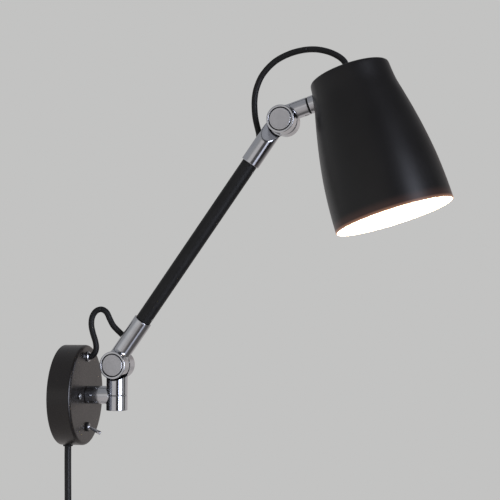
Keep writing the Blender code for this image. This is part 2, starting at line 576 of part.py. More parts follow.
def shade():
    top_r = outline_radius(SHADE_HEIGHT)
    fillet = arc((top_r - SHADE_FILLET, SHADE_HEIGHT - SHADE_FILLET), SHADE_FILLET, 90.0, 15.0, 2)
    outside = shade_side(0.0, SHADE_HEIGHT - 3.0 * MM, 0.0, 9)
    inside = list(reversed(shade_side(-SHADE_SHEET, SHADE_HEIGHT - 3.0 * MM, 0.0, 6)))
    ceiling = SHADE_HEIGHT - SHADE_SHEET
    profile = [(0.0, SHADE_HEIGHT), *fillet, *outside, *inside, (top_r - 3.2 * MM, ceiling), (0.0, ceiling)]
    shell = turned("shade", SHADE, profile, "satin_black", 36)
    stub_up = SHADE_DROP + STUB_OFFSET
    cord_hole = rod("shade_cord_hole", SHADE, (0.0, 0.0, ceiling - 4.0 * MM), (0.0, 0.0, SHADE_HEIGHT + 4.0 * MM),
                    5.2 * MM, sides=12)
    wall = outline_radius(stub_up)
    spigot_hole = rod("shade_spigot_hole", SHADE, (0.0, wall - 8.0 * MM, stub_up), (0.0, wall + 8.0 * MM, stub_up),
                      3.4 * MM, sides=12)
    cut(shell, cord_hole, spigot_hole)


def shade_stub():
    """The rotating end of the stub: a saddle against the shade, a pin into the head and a spigot into the shade."""
    start = STUB_LENGTH + RING_T + 2.0 * GAP
    y = STUB_OFFSET
    wall = SHADE_REACH - outline_radius(SHADE_DROP + STUB_OFFSET)
    stub = rod("shade_stub", HEAD, (0.0, y, start), (0.0, y, wall + 3.0 * MM), STUB_R, "polished_steel", 24)
    side = shade_side(GAP, SHADE_HEIGHT + 20.0 * MM, SHADE_HEIGHT - 50.0 * MM, 10)
    envelope = [(0.0, SHADE_HEIGHT + 20.0 * MM), *side, (0.0, SHADE_HEIGHT - 50.0 * MM)]
    cut(stub, turned("stub_saddle", SHADE, envelope, steps=48))
    spigot = rod("stub_spigot", HEAD, (0.0, y, start + MM), (0.0, y, wall + 9.0 * MM), 3.0 * MM, sides=12)
    pin = rod("stub_pin", HEAD, (0.0, y, 20.5 * MM), (0.0, y, start + MM), 3.0 * MM, sides=12)
    join(stub, spigot, pin)
    cut(stub, ring("stub_pin_groove", HEAD, 4.0 * MM, 2.2 * MM, 22.3 * MM, 26.7 * MM, steps=16, base=(0.0, y, 0.0)))
    seat = wall + SHADE_SHEET + 0.8 * MM
    ring("stub_washer", HEAD, 5.6 * MM, 3.3 * MM, seat, seat + 1.0 * MM, "zinc_steel", 14, (0.0, y, 0.0))
    hex_nut("stub_nut", HEAD, 9.0 * MM, 3.3 * MM, seat + 1.3 * MM, seat + 4.6 * MM, "zinc_steel", (0.0, y, 0.0))


def lamp():
    """Cord grip through the top of the shade, lampholder and bulb below it."""
    ceiling = SHADE_HEIGHT - SHADE_SHEET
    grip_top = SHADE_HEIGHT + 6.8 * MM
    grip = [(4.4 * MM, grip_top), (5.6 * MM, grip_top - 1.2 * MM), (6.2 * MM, SHADE_HEIGHT + GAP),
            (4.9 * MM, SHADE_HEIGHT + GAP), (4.9 * MM, ceiling - 6.0 * MM), (3.3 * MM, ceiling - 6.0 * MM),
            (3.3 * MM, grip_top)]
    turned("cord_grip", SHADE, grip, "polished_steel", 16, True)
    cap_top = ceiling - GAP
    cap = [(5.2 * MM, cap_top), (12.0 * MM, cap_top), (19.0 * MM, cap_top - 8.0 * MM), (19.5 * MM, cap_top - 14.0 * MM),
           (5.2 * MM, cap_top - 14.0 * MM)]
    turned("lampholder_cap", SHADE, cap, "black_plastic", 20, True)
    holder_top = cap_top - 14.0 * MM - GAP
    holder = [(0.0, holder_top), (19.5 * MM, holder_top), (19.5 * MM, holder_top - 6.0 * MM),
              (17.5 * MM, holder_top - 7.0 * MM), (17.5 * MM, holder_top - 24.0 * MM),
              (14.2 * MM, holder_top - 24.0 * MM), (14.2 * MM, holder_top - 6.0 * MM), (0.0, holder_top - 6.0 * MM)]
    turned("lampholder", SHADE, holder, "black_plastic", 20)
    cap_high = holder_top - 7.0 * MM
    bulb_cap = [(0.0, cap_high), (5.0 * MM, cap_high), (11.0 * MM, cap_high - 2.5 * MM), (13.2 * MM, cap_high - 5.0 * MM),
                (13.2 * MM, cap_high - 20.0 * MM), (0.0, cap_high - 20.0 * MM)]
    turned("bulb_cap", SHADE, bulb_cap, "zinc_steel", 16)
    neck = cap_high - 20.0 * MM - GAP
    globe_r = 22.5 * MM
    centre = neck - 31.0 * MM
    globe = [(0.0, neck), (13.0 * MM, neck), (13.6 * MM, neck - 4.0 * MM), *arc((0.0, centre), globe_r, 48.0, -80.0, 6),
             (0.0, centre - globe_r)]
    turned("bulb_globe", SHADE, globe, "opal_glass", 20)


# ---------------------------------------------------------------- leads
def rise(out, up, across=0.0):
    """A point given by its distance from the wall, height and side, in mm, in world space."""
    return Vector((across * MM, -out * MM, up * MM))


def elbow_to_world(point):
    """From the elbow frame to world space."""
    tilt = Matrix.Rotation(math.radians(90.0 - ARM_RISE), 4, "X")
    yaw = Matrix.Rotation(math.radians(SWIVEL_YAW), 4, "Z")
    lift = Matrix.Translation((0.0, 0.0, LOWER_PIVOT_UP))
    return Matrix.Translation((0.0, -SWIVEL_OUT, 0.0)) @ yaw @ lift @ tilt @ point


def lower_flex():
    """From the grommet up, over and down into the side of the lower bracket."""
    middle = [(28.0, 39.0, 0.0), (32.0, 42.3, 0.0), (33.7, 48.0, 0.0), (32.6, 55.0, 0.2), (29.9, 63.0, 0.4),
              (28.0, 71.5, 0.7), (28.7, 79.6, 1.0), (32.6, 85.7, 1.3), (38.5, 87.6, 1.7), (43.8, 84.4, 2.1),
              (47.4, 77.3, 2.4), (51.4, 70.3, 2.7)]
    ends = [LOWER_ENTRY - LOWER_ENTRY_WAY * 4.5 * MM, LOWER_ENTRY, LOWER_ENTRY + LOWER_ENTRY_WAY * 6.0 * MM]
    route = [rise(19.0, 39.0), rise(24.0, 39.0), *(rise(*point) for point in middle)]
    route += [elbow_to_world(point) for point in ends]
    cable("lower_flex", None, smooth_route(route, 6.0 * MM), FLEX_R, "black_rubber")


def upper_flex():
    """From the side of the upper bracket round behind the knuckle and into the top of the shade."""
    start = [UPPER_ENTRY + UPPER_ENTRY_WAY * 7.0 * MM, UPPER_ENTRY, UPPER_ENTRY - UPPER_ENTRY_WAY * 4.0 * MM]
    pivot = Vector((0.0, 0.0, ARM_LENGTH))
    lean = math.radians(ARM_RISE)

    def beside(out, up, across):
        """A point beside the upper pivot, measured level and upright, in the elbow frame."""
        along_arm = out * math.cos(lean) + up * math.sin(lean)
        above_arm = -out * math.sin(lean) + up * math.cos(lean)
        return pivot + Vector((across, above_arm, along_arm)) * MM

    middle = [(-29.3, 3.5, 2.6), (-30.4, 14.0, 2.4), (-30.2, 25.0, 2.2), (-27.9, 36.0, 2.0), (-21.6, 48.6, 1.7),
              (-9.8, 60.0, 1.3), (4.5, 66.8, 1.0), (19.5, 69.9, 0.7), (33.5, 69.6, 0.4), (46.0, 66.2, 0.2),
              (55.8, 61.0, 0.0), (61.8, 55.4, 0.0)]
    axis_out, axis_up = SHADE_REACH / MM, -SHADE_DROP / MM
    tilt = math.radians(HEAD_TILT)

    def on_axis(height):
        """A point on the shade's axis at a height above the mouth, in the same measure."""
        up_stub = axis_up + height
        return (axis_out * math.cos(tilt) - up_stub * math.sin(tilt),
                axis_out * math.sin(tilt) + up_stub * math.cos(tilt), 0.0)

    route = start + [beside(*point) for point in middle]
    route += [beside(*on_axis(154.0)), beside(*on_axis(148.0)), beside(*on_axis(142.5))]
    cable("upper_flex", ELBOW, smooth_route(route, 7.0 * MM), FLEX_R, "black_rubber")


def mains_cord():
    """The cord straight down the wall, a coil of the rest held by a tie, and a moulded three pin plug."""
    outer_turn = COIL_MEAN_R + COIL_TURNS * CORD_R
    centre = Vector((outer_turn, -CORD_OUT - CORD_R - MM, -COIL_DROP))
    half_width = (COIL_TURNS + 1) * CORD_R
    outer, inner = COIL_MEAN_R + half_width, COIL_MEAN_R - half_width
    meet = math.sqrt(outer ** 2 - (centre.x - CORD_R) ** 2) + 0.8 * MM
    start, stop = -33.0 * MM, -COIL_DROP + meet
    count = 9
    heights = [start + (stop - start) * index / count for index in range(count + 1)]
    cable("mains_cord", None, [Vector((0.0, -CORD_OUT, height)) for height in heights], CORD_R, "black_rubber", 2)

    coil_frame = frame("coil_frame", location=centre, turn_x=90.0)
    depth, soft = 2.0 * CORD_R, 2.0 * MM
    profile = [(outer - soft, depth), (outer, depth - soft), (outer, -depth + soft), (outer - soft, -depth),
               (inner + soft, -depth), (inner, -depth + soft), (inner, depth - soft), (inner + soft, depth)]
    turned("cord_coil", coil_frame, profile, "black_rubber", 24, True)

    band_w, band_t = 12.0 * MM, 1.2 * MM
    span, thick = outer - inner + 2.0 * GAP, 2.0 * depth + 2.0 * GAP
    tie = block("cord_tie", coil_frame, (0.0, -COIL_MEAN_R, 0.0), (band_w, span + 2.0 * band_t, thick + 2.0 * band_t - MM),
                "black_rubber")
    cut(tie, block("tie_hole", coil_frame, (0.0, -COIL_MEAN_R, 0.0), (band_w + 2.0 * MM, span + 1.6 * MM, thick)))
    plug(centre + Vector((-outer_turn, -CORD_R, 0.0)), meet)


def plug(top, meet):
    """A moulded plug hanging from the coil: a cord stub, a tapered relief, a rounded body and three pins."""
    stub_top = -meet
    plug_frame = frame("plug_frame", location=top, turn_x=90.0)          # +Z out of the wall, +Y up
    relief_top, body_top = stub_top - 6.0 * MM, stub_top - 30.0 * MM
    width, height, thick = 48.0 * MM, 50.0 * MM, 15.0 * MM
    body = block("plug", plug_frame, (0.0, body_top - height / 2.0, 0.0), (width, height, thick), "black_plastic")
    soften = body.modifiers.new("round_corners", "BEVEL")
    soften.width = 4.0 * MM
    soften.segments = 2
    relief = rod("plug_relief", plug_frame, (0.0, body_top - 6.0 * MM, 0.0), (0.0, relief_top, 0.0), 6.5 * MM,
                 sides=16, end_radius=4.2 * MM)
    join(body, relief)
    face = thick / 2.0
    pins = [(0.0, -11.0, 8.0, 4.0, 22.7), (-11.1, -33.3, 4.0, 6.35, 17.7), (11.1, -33.3, 4.0, 6.35, 17.7)]
    for index, (x, y, wide, high, reach) in enumerate(pins):
        join(body, block("plug_pin_%d" % index, plug_frame, (x * MM, body_top + y * MM, face + reach * MM / 2.0 - MM),
                         (wide * MM, high * MM, reach * MM + 2.0 * MM)))
    rod("plug_cord", plug_frame, (0.0, stub_top - GAP, 0.0), (0.0, relief_top + GAP, 0.0), CORD_R, "black_rubber", 12)


canopy()
mounting_plate()
cover_screw("cover_screw_left", -SCREW_SPREAD)
cover_screw("cover_screw_right", SCREW_SPREAD)
wall_post()
canopy_fittings()
toggle_switch()
swivel()
arm()
head()
shade()
shade_stub()
lamp()
lower_flex()
upper_flex()
mains_cord()
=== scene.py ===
"""The looks of the swing arm wall sconce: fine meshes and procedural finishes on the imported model."""
import math

import bmesh
import bpy
import numpy as np
from mathutils import Matrix, Vector


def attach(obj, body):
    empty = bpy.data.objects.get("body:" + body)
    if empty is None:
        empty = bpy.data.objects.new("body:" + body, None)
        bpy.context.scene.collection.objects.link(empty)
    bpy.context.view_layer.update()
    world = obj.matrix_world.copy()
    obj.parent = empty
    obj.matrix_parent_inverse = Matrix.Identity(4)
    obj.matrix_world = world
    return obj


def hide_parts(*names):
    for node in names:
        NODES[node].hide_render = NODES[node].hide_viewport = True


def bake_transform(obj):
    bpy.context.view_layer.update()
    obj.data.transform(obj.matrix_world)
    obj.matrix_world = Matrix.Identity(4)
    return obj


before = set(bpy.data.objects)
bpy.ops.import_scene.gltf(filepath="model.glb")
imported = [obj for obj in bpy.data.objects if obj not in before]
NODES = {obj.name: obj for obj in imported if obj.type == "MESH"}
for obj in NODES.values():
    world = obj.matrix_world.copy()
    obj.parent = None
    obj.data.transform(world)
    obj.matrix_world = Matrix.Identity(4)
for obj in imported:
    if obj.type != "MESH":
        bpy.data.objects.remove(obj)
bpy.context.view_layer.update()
SCENE = bpy.context.scene

MM = 0.001

# sizes in millimetres, at or close to the CAD's
CANOPY_R, CANOPY_DEPTH, CANOPY_SHEET = 51.0, 24.5, 1.5
SCREW_SPREAD, GROMMET_UP, TOGGLE_DOWN = 24.3, 39.0, 32.5
POST_R, BARREL_R, SWIVEL_OUT, BARREL_BOTTOM = 9.25, 10.8, 56.4, -15.3
PIVOT_UP, ARM_LENGTH = 30.8, 300.0
KNUCKLE_R, KNUCKLE_HALF, LAP_R, SADDLE_R = 14.0, 13.5, 15.0, 15.7
CAP_R, CAP_RECESS_R, CAP_FLOOR = 10.95, 11.75, 11.4
ROD_R, ROD_OFFSET, BRACKET_LENGTH = 9.6, 3.9, 53.4
TUBE_R, TUBE_BORE = 8.0, 6.5
STUB_R, STUB_OFFSET, STUB_LENGTH = 8.7, 5.6, 28.7
SHADE_REACH, SHADE_DROP, SHADE_HEIGHT, SHADE_SHEET = 76.1, 126.4, 148.0, 1.2
SHADE_OUTLINE = [(0.0, 58.3), (25.0, 57.6), (49.0, 55.8), (73.0, 52.6), (96.0, 48.5), (114.0, 44.7),
                 (128.5, 41.5), (141.5, 40.1), (148.0, 39.6)]     # height and radius
FLEX_R, CORD_R, CORD_OUT = 3.0, 3.5, 4.3
COIL_DROP, COIL_MEAN_R, COIL_OUTER_R = 185.0, 42.0, 52.5
COIL_TURNS, COIL_CROSSING, COIL_CROSSED = 6, 3.0, 3.25      # turns, and where the layers cross


def turn(axis, degrees):
    return Matrix.Rotation(math.radians(degrees), 4, axis)


def shift(x, y, z):
    return Matrix.Translation((x * MM, y * MM, z * MM))


BASE = turn("X", 90.0)                                   # +Z out of the wall, +Y up
SWIVEL = shift(0.0, -SWIVEL_OUT, 0.0) @ turn("Z", -6.0)
ELBOW = SWIVEL @ shift(0.0, 0.0, PIVOT_UP) @ turn("X", 36.0)      # +Z along the arm, X the pivots' axis
UPPER = ELBOW @ shift(0.0, 0.0, ARM_LENGTH)
HEAD = UPPER @ turn("X", 37.0)                           # +Z along the stub
SHADE = HEAD @ shift(0.0, -SHADE_DROP, SHADE_REACH) @ turn("X", -90.0)    # +Z up the shade from its mouth
TOGGLE = BASE @ shift(0.0, -TOGGLE_DOWN, CANOPY_DEPTH + 1.8) @ turn("X", 27.0)
COIL = shift(COIL_OUTER_R, -CORD_OUT - CORD_R - 1.0, -COIL_DROP) @ turn("X", 90.0)
PLUG = shift(0.0, -CORD_OUT - 2.0 * CORD_R - 1.0, -COIL_DROP) @ turn("X", 90.0)


def add_object(name, data):
    """A new object in the scene that shows a mesh, a curve, a light or a camera."""
    made = bpy.data.objects.new(name, data)
    SCENE.collection.objects.link(made)
    return made


# ---------------- camera
CAMERA_PLACE = (-1.0370, -0.3893, 0.0776)
CAMERA_FORWARD, CAMERA_RIGHT = (0.98073, 0.18404, 0.06562), (0.18444, -0.98284, 0.0)
LENS, SENSOR = 75.6, 36.0


def camera():
    forward, right = Vector(CAMERA_FORWARD).normalized(), Vector(CAMERA_RIGHT).normalized()
    data = bpy.data.cameras.new("camera")
    data.lens, data.sensor_width, data.clip_start = LENS, SENSOR, 0.01
    view = add_object("camera", data)
    pose = Matrix((right, right.cross(forward), -forward)).transposed().to_4x4()
    pose.translation = CAMERA_PLACE
    view.matrix_world = pose
    SCENE.camera = view


# ---------------- finishes
def add_node(nodes, kind, **inputs):
    """A new shader node with some inputs set, their names with underscores for spaces."""
    made = nodes.new("ShaderNode" + kind)
    for name, value in inputs.items():
        made.inputs[name.replace("_", " ")].default_value = value
    return made


def noise(nodes, links, where, scale, detail=4.0):
    made = add_node(nodes, "TexNoise", Scale=scale, Detail=detail, Roughness=0.55)
    links.new(where, made.inputs["Vector"])
    return made.outputs["Fac"]


def spread(nodes, links, where, **ends):
    """A value spread linearly from one range to another."""
    made = add_node(nodes, "MapRange", **ends)
    links.new(where, made.inputs["Value"])
    return made.outputs["Result"]


def kept_space(nodes):
    """A piece's own coordinates, as its mesh keeps them."""
    source = add_node(nodes, "Attribute")
    source.attribute_name = "grain"
    return source.outputs["Vector"]


PATCH_ENDS = (0.3, 0.7)           # noise values at the first and the second tone
GRAIN_DEPTH = 0.00004            # metres
LIP_BAND = 0.012                 # metres above the shade's mouth over which the lamp's light is painted on as a glow
PAINTED_LIP_GLOW = [(0.0, (0.55, 0.32, 0.21)), (1.0, (0.0, 0.0, 0.0)), (0.1, (0.2, 0.1, 0.065)),
            (0.3, (0.028, 0.013, 0.010))]     # share of the band, and tone of the painted glow


def finish(name, tones, rough, metallic=0.0, patch=40.0, grain=1500.0, relief=0.25, stretch=(1.0, 1.0, 1.0),
           coat=0.0, glow=0.0, shine=0.5, own_space=True):
    """A finish mottled between two tones and two roughnesses, with a fine grain in its bump.

    The patch and grain scales are in features per metre, and stretch draws the grain out. Without own_space
    the object's coordinates are used in place of the ones its mesh keeps.
    """
    made = bpy.data.materials.new(name)
    made.use_nodes = True
    nodes, links = made.node_tree.nodes, made.node_tree.links
    shader = nodes["Principled BSDF"]
    shader.inputs["Metallic"].default_value = metallic
    shader.inputs["Coat Weight"].default_value = coat
    shader.inputs["Specular IOR Level"].default_value = shine
    place = kept_space(nodes) if own_space else add_node(nodes, "TexCoord").outputs["Object"]
    mapping = add_node(nodes, "Mapping", Scale=stretch)
    links.new(place, mapping.inputs["Vector"])
    drawn = mapping.outputs["Vector"]
    ramp = add_node(nodes, "ValToRGB")
    for stop, position, tone in zip(ramp.color_ramp.elements, PATCH_ENDS, tones):
        stop.position, stop.color = position, (*tone, 1.0)
    links.new(noise(nodes, links, place, patch), ramp.inputs["Fac"])
    links.new(ramp.outputs["Color"], shader.inputs["Base Color"])
    clouds = noise(nodes, links, drawn, grain * 0.3)
    ends = dict(From_Min=PATCH_ENDS[0], From_Max=PATCH_ENDS[1], To_Min=rough[0], To_Max=rough[1])
    links.new(spread(nodes, links, clouds, **ends), shader.inputs["Roughness"])
    bump = add_node(nodes, "Bump", Strength=relief, Distance=GRAIN_DEPTH)
    links.new(noise(nodes, links, drawn, grain, 2.0), bump.inputs["Height"])
    links.new(bump.outputs["Normal"], shader.inputs["Normal"])
    if glow:
        links.new(ramp.outputs["Color"], shader.inputs["Emission Color"])
        shader.inputs["Emission Strength"].default_value = glow
    return made


def paint_lip_glow(made):
    """Paint the lamp's light onto the shade's outside as an emitted glow, in a thin band at the lip."""
    nodes, links = made.node_tree.nodes, made.node_tree.links
    parts = add_node(nodes, "SeparateXYZ")
    links.new(kept_space(nodes), parts.inputs["Vector"])
    warm = add_node(nodes, "ValToRGB")
    warm.color_ramp.interpolation = "EASE"
    for index, (place, tone) in enumerate(PAINTED_LIP_GLOW):
        stop = warm.color_ramp.elements[index] if index < 2 else warm.color_ramp.elements.new(place)
        stop.position, stop.color = place, (*tone, 1.0)
    links.new(spread(nodes, links, parts.outputs["Z"], From_Max=LIP_BAND), warm.inputs["Fac"])
    links.new(warm.outputs["Color"], nodes["Principled BSDF"].inputs["Emission Color"])
    nodes["Principled BSDF"].inputs["Emission Strength"].default_value = 1.0


# for each slot: the material's name, two tones, two roughnesses, and what differs from a plain finish
FINISHES = {
    "canopy_black": ("powder_black_canopy", ((0.0075, 0.006, 0.0055), (0.011, 0.009, 0.008)), (0.26, 0.34),
                     dict(patch=30.0, grain=1400.0)),
    "tube_black": ("powder_black_tube", ((0.006, 0.006, 0.006), (0.010, 0.010, 0.010)), (0.4, 0.5),
                   dict(patch=60.0, grain=1600.0, relief=0.3, shine=0.3)),
    "shade_black": ("powder_black_shade_painted_lip_glow", ((0.0055, 0.005, 0.005), (0.008, 0.0075, 0.0075)), (0.33, 0.4),
                    dict(patch=25.0, grain=1400.0, shine=0.36)),
    "shade_white": ("white_enamel", ((0.84, 0.82, 0.78), (0.90, 0.88, 0.85)), (0.42, 0.52),
                    dict(patch=30.0, grain=1300.0)),
    "polished_metal": ("polished_metal", ((0.58, 0.59, 0.62), (0.66, 0.67, 0.70)), (0.10, 0.17),
                       dict(metallic=1.0, patch=90.0, grain=2600.0, relief=0.06, stretch=(0.06, 0.06, 1.0))),
    "satin_cap": ("satin_metal", ((0.57, 0.57, 0.59), (0.64, 0.64, 0.66)), (0.34, 0.46),
                  dict(metallic=1.0, patch=120.0, grain=2200.0, relief=0.2)),
    "zinc_steel": ("zinc_steel", ((0.40, 0.41, 0.42), (0.55, 0.56, 0.55)), (0.32, 0.48),
                   dict(metallic=1.0, patch=150.0, grain=1800.0, relief=0.3)),
    "earth_brass": ("brass", ((0.62, 0.45, 0.20), (0.74, 0.56, 0.28)), (0.22, 0.34),
                    dict(metallic=1.0, patch=200.0, grain=2000.0, relief=0.2)),
    # black rubber, also used to paint shade into the saddle and cap recesses of the metal castings
    "rubber_black": ("black_rubber", ((0.007, 0.007, 0.007), (0.011, 0.011, 0.011)), (0.5, 0.68),
                     dict(patch=120.0, grain=2200.0, relief=0.4, shine=0.25)),
    "cord_black": ("cord_sheath", ((0.008, 0.008, 0.008), (0.013, 0.013, 0.013)), (0.42, 0.56),
                   dict(patch=90.0, grain=1900.0, relief=0.35, shine=0.3)),
    "black_plastic": ("black_plastic", ((0.014, 0.014, 0.015), (0.021, 0.021, 0.022)), (0.36, 0.48),
                      dict(patch=80.0, grain=1700.0, relief=0.3)),
    "plug_black": ("moulded_plug", ((0.012, 0.012, 0.012), (0.019, 0.019, 0.019)), (0.42, 0.56),
                   dict(patch=60.0, relief=0.4)),
    "white_plastic": ("white_plastic", ((0.74, 0.72, 0.68), (0.82, 0.80, 0.76)), (0.35, 0.5),
                      dict(patch=90.0, grain=1600.0)),
    "opal_bulb": ("opal_glass", ((1.0, 0.78, 0.52), (1.0, 0.86, 0.66)), (0.25, 0.35),
                  dict(patch=60.0, grain=900.0, relief=0.1, coat=0.4, glow=9.0)),
}
MADE = {}


def coated(slot, own=True):
    """The finish of a slot, made once for pieces and once for parts with no space of their own."""
    if (slot, own) not in MADE:
        name, tones, rough, rest = FINISHES[slot]
        MADE[slot, own] = finish(name, tones, rough, own_space=own, **rest)
        # the shade's black outside also gets a painted glow of lamp light at its lip
        if slot == "shade_black":
            paint_lip_glow(MADE[slot, own])
    return MADE[slot, own]


# ---------------- pieces
def keep_grain(mesh):
    """Store a mesh's own coordinates for its finish, before it is moved into place."""
    grain = mesh.attributes.new("grain", "FLOAT_VECTOR", "POINT")
    spots = np.zeros(len(mesh.vertices) * 3, np.float32)
    mesh.vertices.foreach_get("co", spots)
    grain.data.foreach_set("vector", spots)


def piece(name, mesh, place, body, slots, *nodes):
    """Stand a mesh at a frame of the model, on a body, in the finishes of its slots, for some CAD nodes."""
    keep_grain(mesh)
    mesh.transform(place)
    obj = add_object(name, mesh)
    for slot in slots:
        mesh.materials.append(coated(slot))
    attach(obj, body)
    if nodes:
        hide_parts(*nodes)
    return obj


def paint(mesh, test):
    """Put a mesh's second slot on the faces whose middle, in millimetres, and normal pass a test, if any."""
    if test:
        second = [int(test(face.center / MM, face.normal)) for face in mesh.polygons]
        mesh.polygons.foreach_set("material_index", second)


# polished metal, and black on recess and saddle faces as painted shade where the gaps fall dark
METAL_AND_PAINTED_SHADE = ["polished_metal", "rubber_black"]


def in_recess(middle, side, height=0.0):
    """Whether a spot is on the wall or the floor of a cap's recess, where black is put as painted shade."""
    return side * middle.x > 6.0 and math.hypot(middle.y, middle.z - height) < CAP_RECESS_R + 0.12


def soften(points, size=0.4, closed=False, steps=4):
    """Round each corner of a profile over the given size."""
    points = [Vector(point) for point in points]
    count = len(points)
    rounded = []
    for index, corner in enumerate(points):
        if not closed and index in (0, count - 1):
            rounded.append(corner)
            continue
        before, after = points[index - 1], points[(index + 1) % count]
        reach = min(size, 0.45 * (before - corner).length, 0.45 * (after - corner).length)
        start = corner + (before - corner).normalized() * reach
        stop = corner + (after - corner).normalized() * reach
        for step in range(steps + 1):
            t = step / steps
            rounded.append(start * (1 - t) ** 2 + corner * (2 * t * (1 - t)) + stop * t ** 2)
    return rounded


def lathe(name, profile, steps=96, closed=False):
    """A mesh turned about +Z from a profile of (radius, height), in millimetres, seen smooth."""
    shape = bmesh.new()
    verts = [shape.verts.new((radius * MM, 0.0, height * MM)) for radius, height in profile]
    edges = [shape.edges.new(pair) for pair in zip(verts, verts[1:])]
    if closed:
        edges.append(shape.edges.new((verts[-1], verts[0])))
    bmesh.ops.spin(shape, geom=verts + edges, cent=(0.0, 0.0, 0.0), axis=(0.0, 0.0, 1.0), angle=2.0 * math.pi,
                   steps=steps, use_merge=True)
    bmesh.ops.remove_doubles(shape, verts=shape.verts, dist=0.000001)
    bmesh.ops.recalc_face_normals(shape, faces=shape.faces)
    mesh = bpy.data.meshes.new(name)
    shape.to_mesh(mesh)
    shape.free()
    mesh.shade_smooth()
    return mesh


def turned_piece(name, profile, steps, place, body, slots, node, closed=False, second=None):
    """A turned piece that keeps its flat faces flat beside their rounded edges."""
    mesh = lathe(name, profile, steps, closed)
    paint(mesh, second)
    piece(name, mesh, place, body, slots, node).modifiers.new("flat_faces", "WEIGHTED_NORMAL").weight = 80


def carved_piece(name, field, low, high, pitch, place, body, slots, *nodes, second=None):
    """A piece with its surface where a field is zero."""
    mesh = net(name, field, low, high, pitch)
    paint(mesh, second)
    return piece(name, mesh, place, body, slots, *nodes)


# ---------------- fields
CENTRE = (0.0, 0.0, 0.0)


def bar(p, axis, centre, radius, low, high, soft=0.5):
    """Distance to a round bar along an axis between two ends, with softened rims."""
    index = "xyz".index(axis)
    u, v = [p[i] - centre[i] for i in range(3) if i != index]
    across = np.hypot(u, v) - radius + soft
    beyond = np.abs(p[index] - (low + high) / 2.0) - (high - low) / 2.0 + soft
    outside = np.hypot(np.maximum(across, 0.0), np.maximum(beyond, 0.0))
    return outside + np.minimum(np.maximum(across, beyond), 0.0) - soft


def slab(p, centre, size, soft=0.5):
    """Distance to a block with softened edges."""
    q = [np.abs(p[i] - centre[i]) - size[i] / 2.0 + soft for i in range(3)]
    outside = np.sqrt(sum(np.maximum(side, 0.0) ** 2 for side in q))
    return outside + np.minimum(np.maximum(np.maximum(q[0], q[1]), q[2]), 0.0) - soft


def bore_along(p, point, way, radius, depth):
    """Distance to a round hole that goes in at a point, to a depth."""
    q = [p[i] - point[i] for i in range(3)]
    reach = sum(q[i] * way[i] for i in range(3))
    away = np.sqrt(np.maximum(sum(side ** 2 for side in q) - reach ** 2, 0.0))
    return np.maximum(away - radius, reach - depth)


def merge(a, b, size):
    """Union of two fields with a fillet of about the given size."""
    share = np.clip(0.5 + 0.5 * (b - a) / size, 0.0, 1.0)
    return b * (1.0 - share) + a * share - size * share * (1.0 - share)


def remove(a, b, size=0.5):
    """The first field less the second, with a soft rim."""
    return -merge(-a, b, size)


def net(name, field, low, high, pitch):
    """A smooth mesh of the surface where a field is zero, on a grid of the given pitch, in millimetres."""
    axes = [np.arange(a - 1.5 * pitch, b + 2.5 * pitch, pitch) for a, b in zip(low, high)]
    grid = np.array(np.meshgrid(*axes, indexing="ij"))
    value = field(grid)
    cells = tuple(n - 1 for n in value.shape)
    total, count = np.zeros((3, *cells)), np.zeros(cells)
    crossings = []
    for axis in range(3):
        near = np.take(value, range(value.shape[axis] - 1), axis)
        far = np.take(value, range(1, value.shape[axis]), axis)
        crossing = (near < 0.0) != (far < 0.0)
        along = np.where(crossing, near / np.where(crossing, near - far, 1.0), 0.0)
        point = np.take(grid, range(value.shape[axis] - 1), axis + 1) * crossing
        point[axis] += along * pitch
        others = [i for i in range(3) if i != axis]
        for first in (0, 1):
            for second in (0, 1):
                part = [slice(None)] * 3
                part[others[0]] = slice(first, first + cells[others[0]])
                part[others[1]] = slice(second, second + cells[others[1]])
                total += point[(..., *part)]
                count += crossing[tuple(part)]
        crossings.append((crossing, near < 0.0))
    used = count > 0.0
    number = np.cumsum(used.ravel()).reshape(cells) - 1
    points = (total[:, used] / count[used]).T
    faces = []
    for axis, (crossing, inward) in enumerate(crossings):
        u, v = (axis + 1) % 3, (axis + 2) % 3
        at = np.argwhere(crossing)
        at = at[(at[:, u] > 0) & (at[:, v] > 0) & (at[:, u] < cells[u]) & (at[:, v] < cells[v])]
        outward = inward[tuple(at.T)]
        quad = []
        for du, dv in ((1, 1), (0, 1), (0, 0), (1, 0)):
            cell = at.copy()
            cell[:, u] -= du
            cell[:, v] -= dv
            quad.append(number[tuple(cell.T)])
        quad = np.array(quad).T
        quad[~outward] = quad[~outward][:, ::-1]
        faces.append(quad)
    faces = np.concatenate(faces)
    for _ in range(3):
        slope = gradient(field, points, pitch)
        step = field(points.T)[:, None] * slope / np.maximum((slope ** 2).sum(1), 0.05)[:, None]
        points = points - np.clip(step, -0.5 * pitch, 0.5 * pitch)
    slope = gradient(field, points, pitch)
    normals = slope / np.maximum(np.linalg.norm(slope, axis=1), 1e-9)[:, None]
    mesh = bpy.data.meshes.new(name)
    mesh.from_pydata((points * MM).tolist(), [], faces.tolist())
    mesh.shade_smooth()
    mesh.normals_split_custom_set_from_vertices(normals.tolist())
    return mesh


def gradient(field, points, pitch):
    reach = 0.1 * pitch
    slopes = []
    for axis in range(3):
        offset = np.zeros(3)
        offset[axis] = reach
        slopes.append((field((points + offset).T) - field((points - offset).T)) / (2.0 * reach))
    return np.array(slopes).T


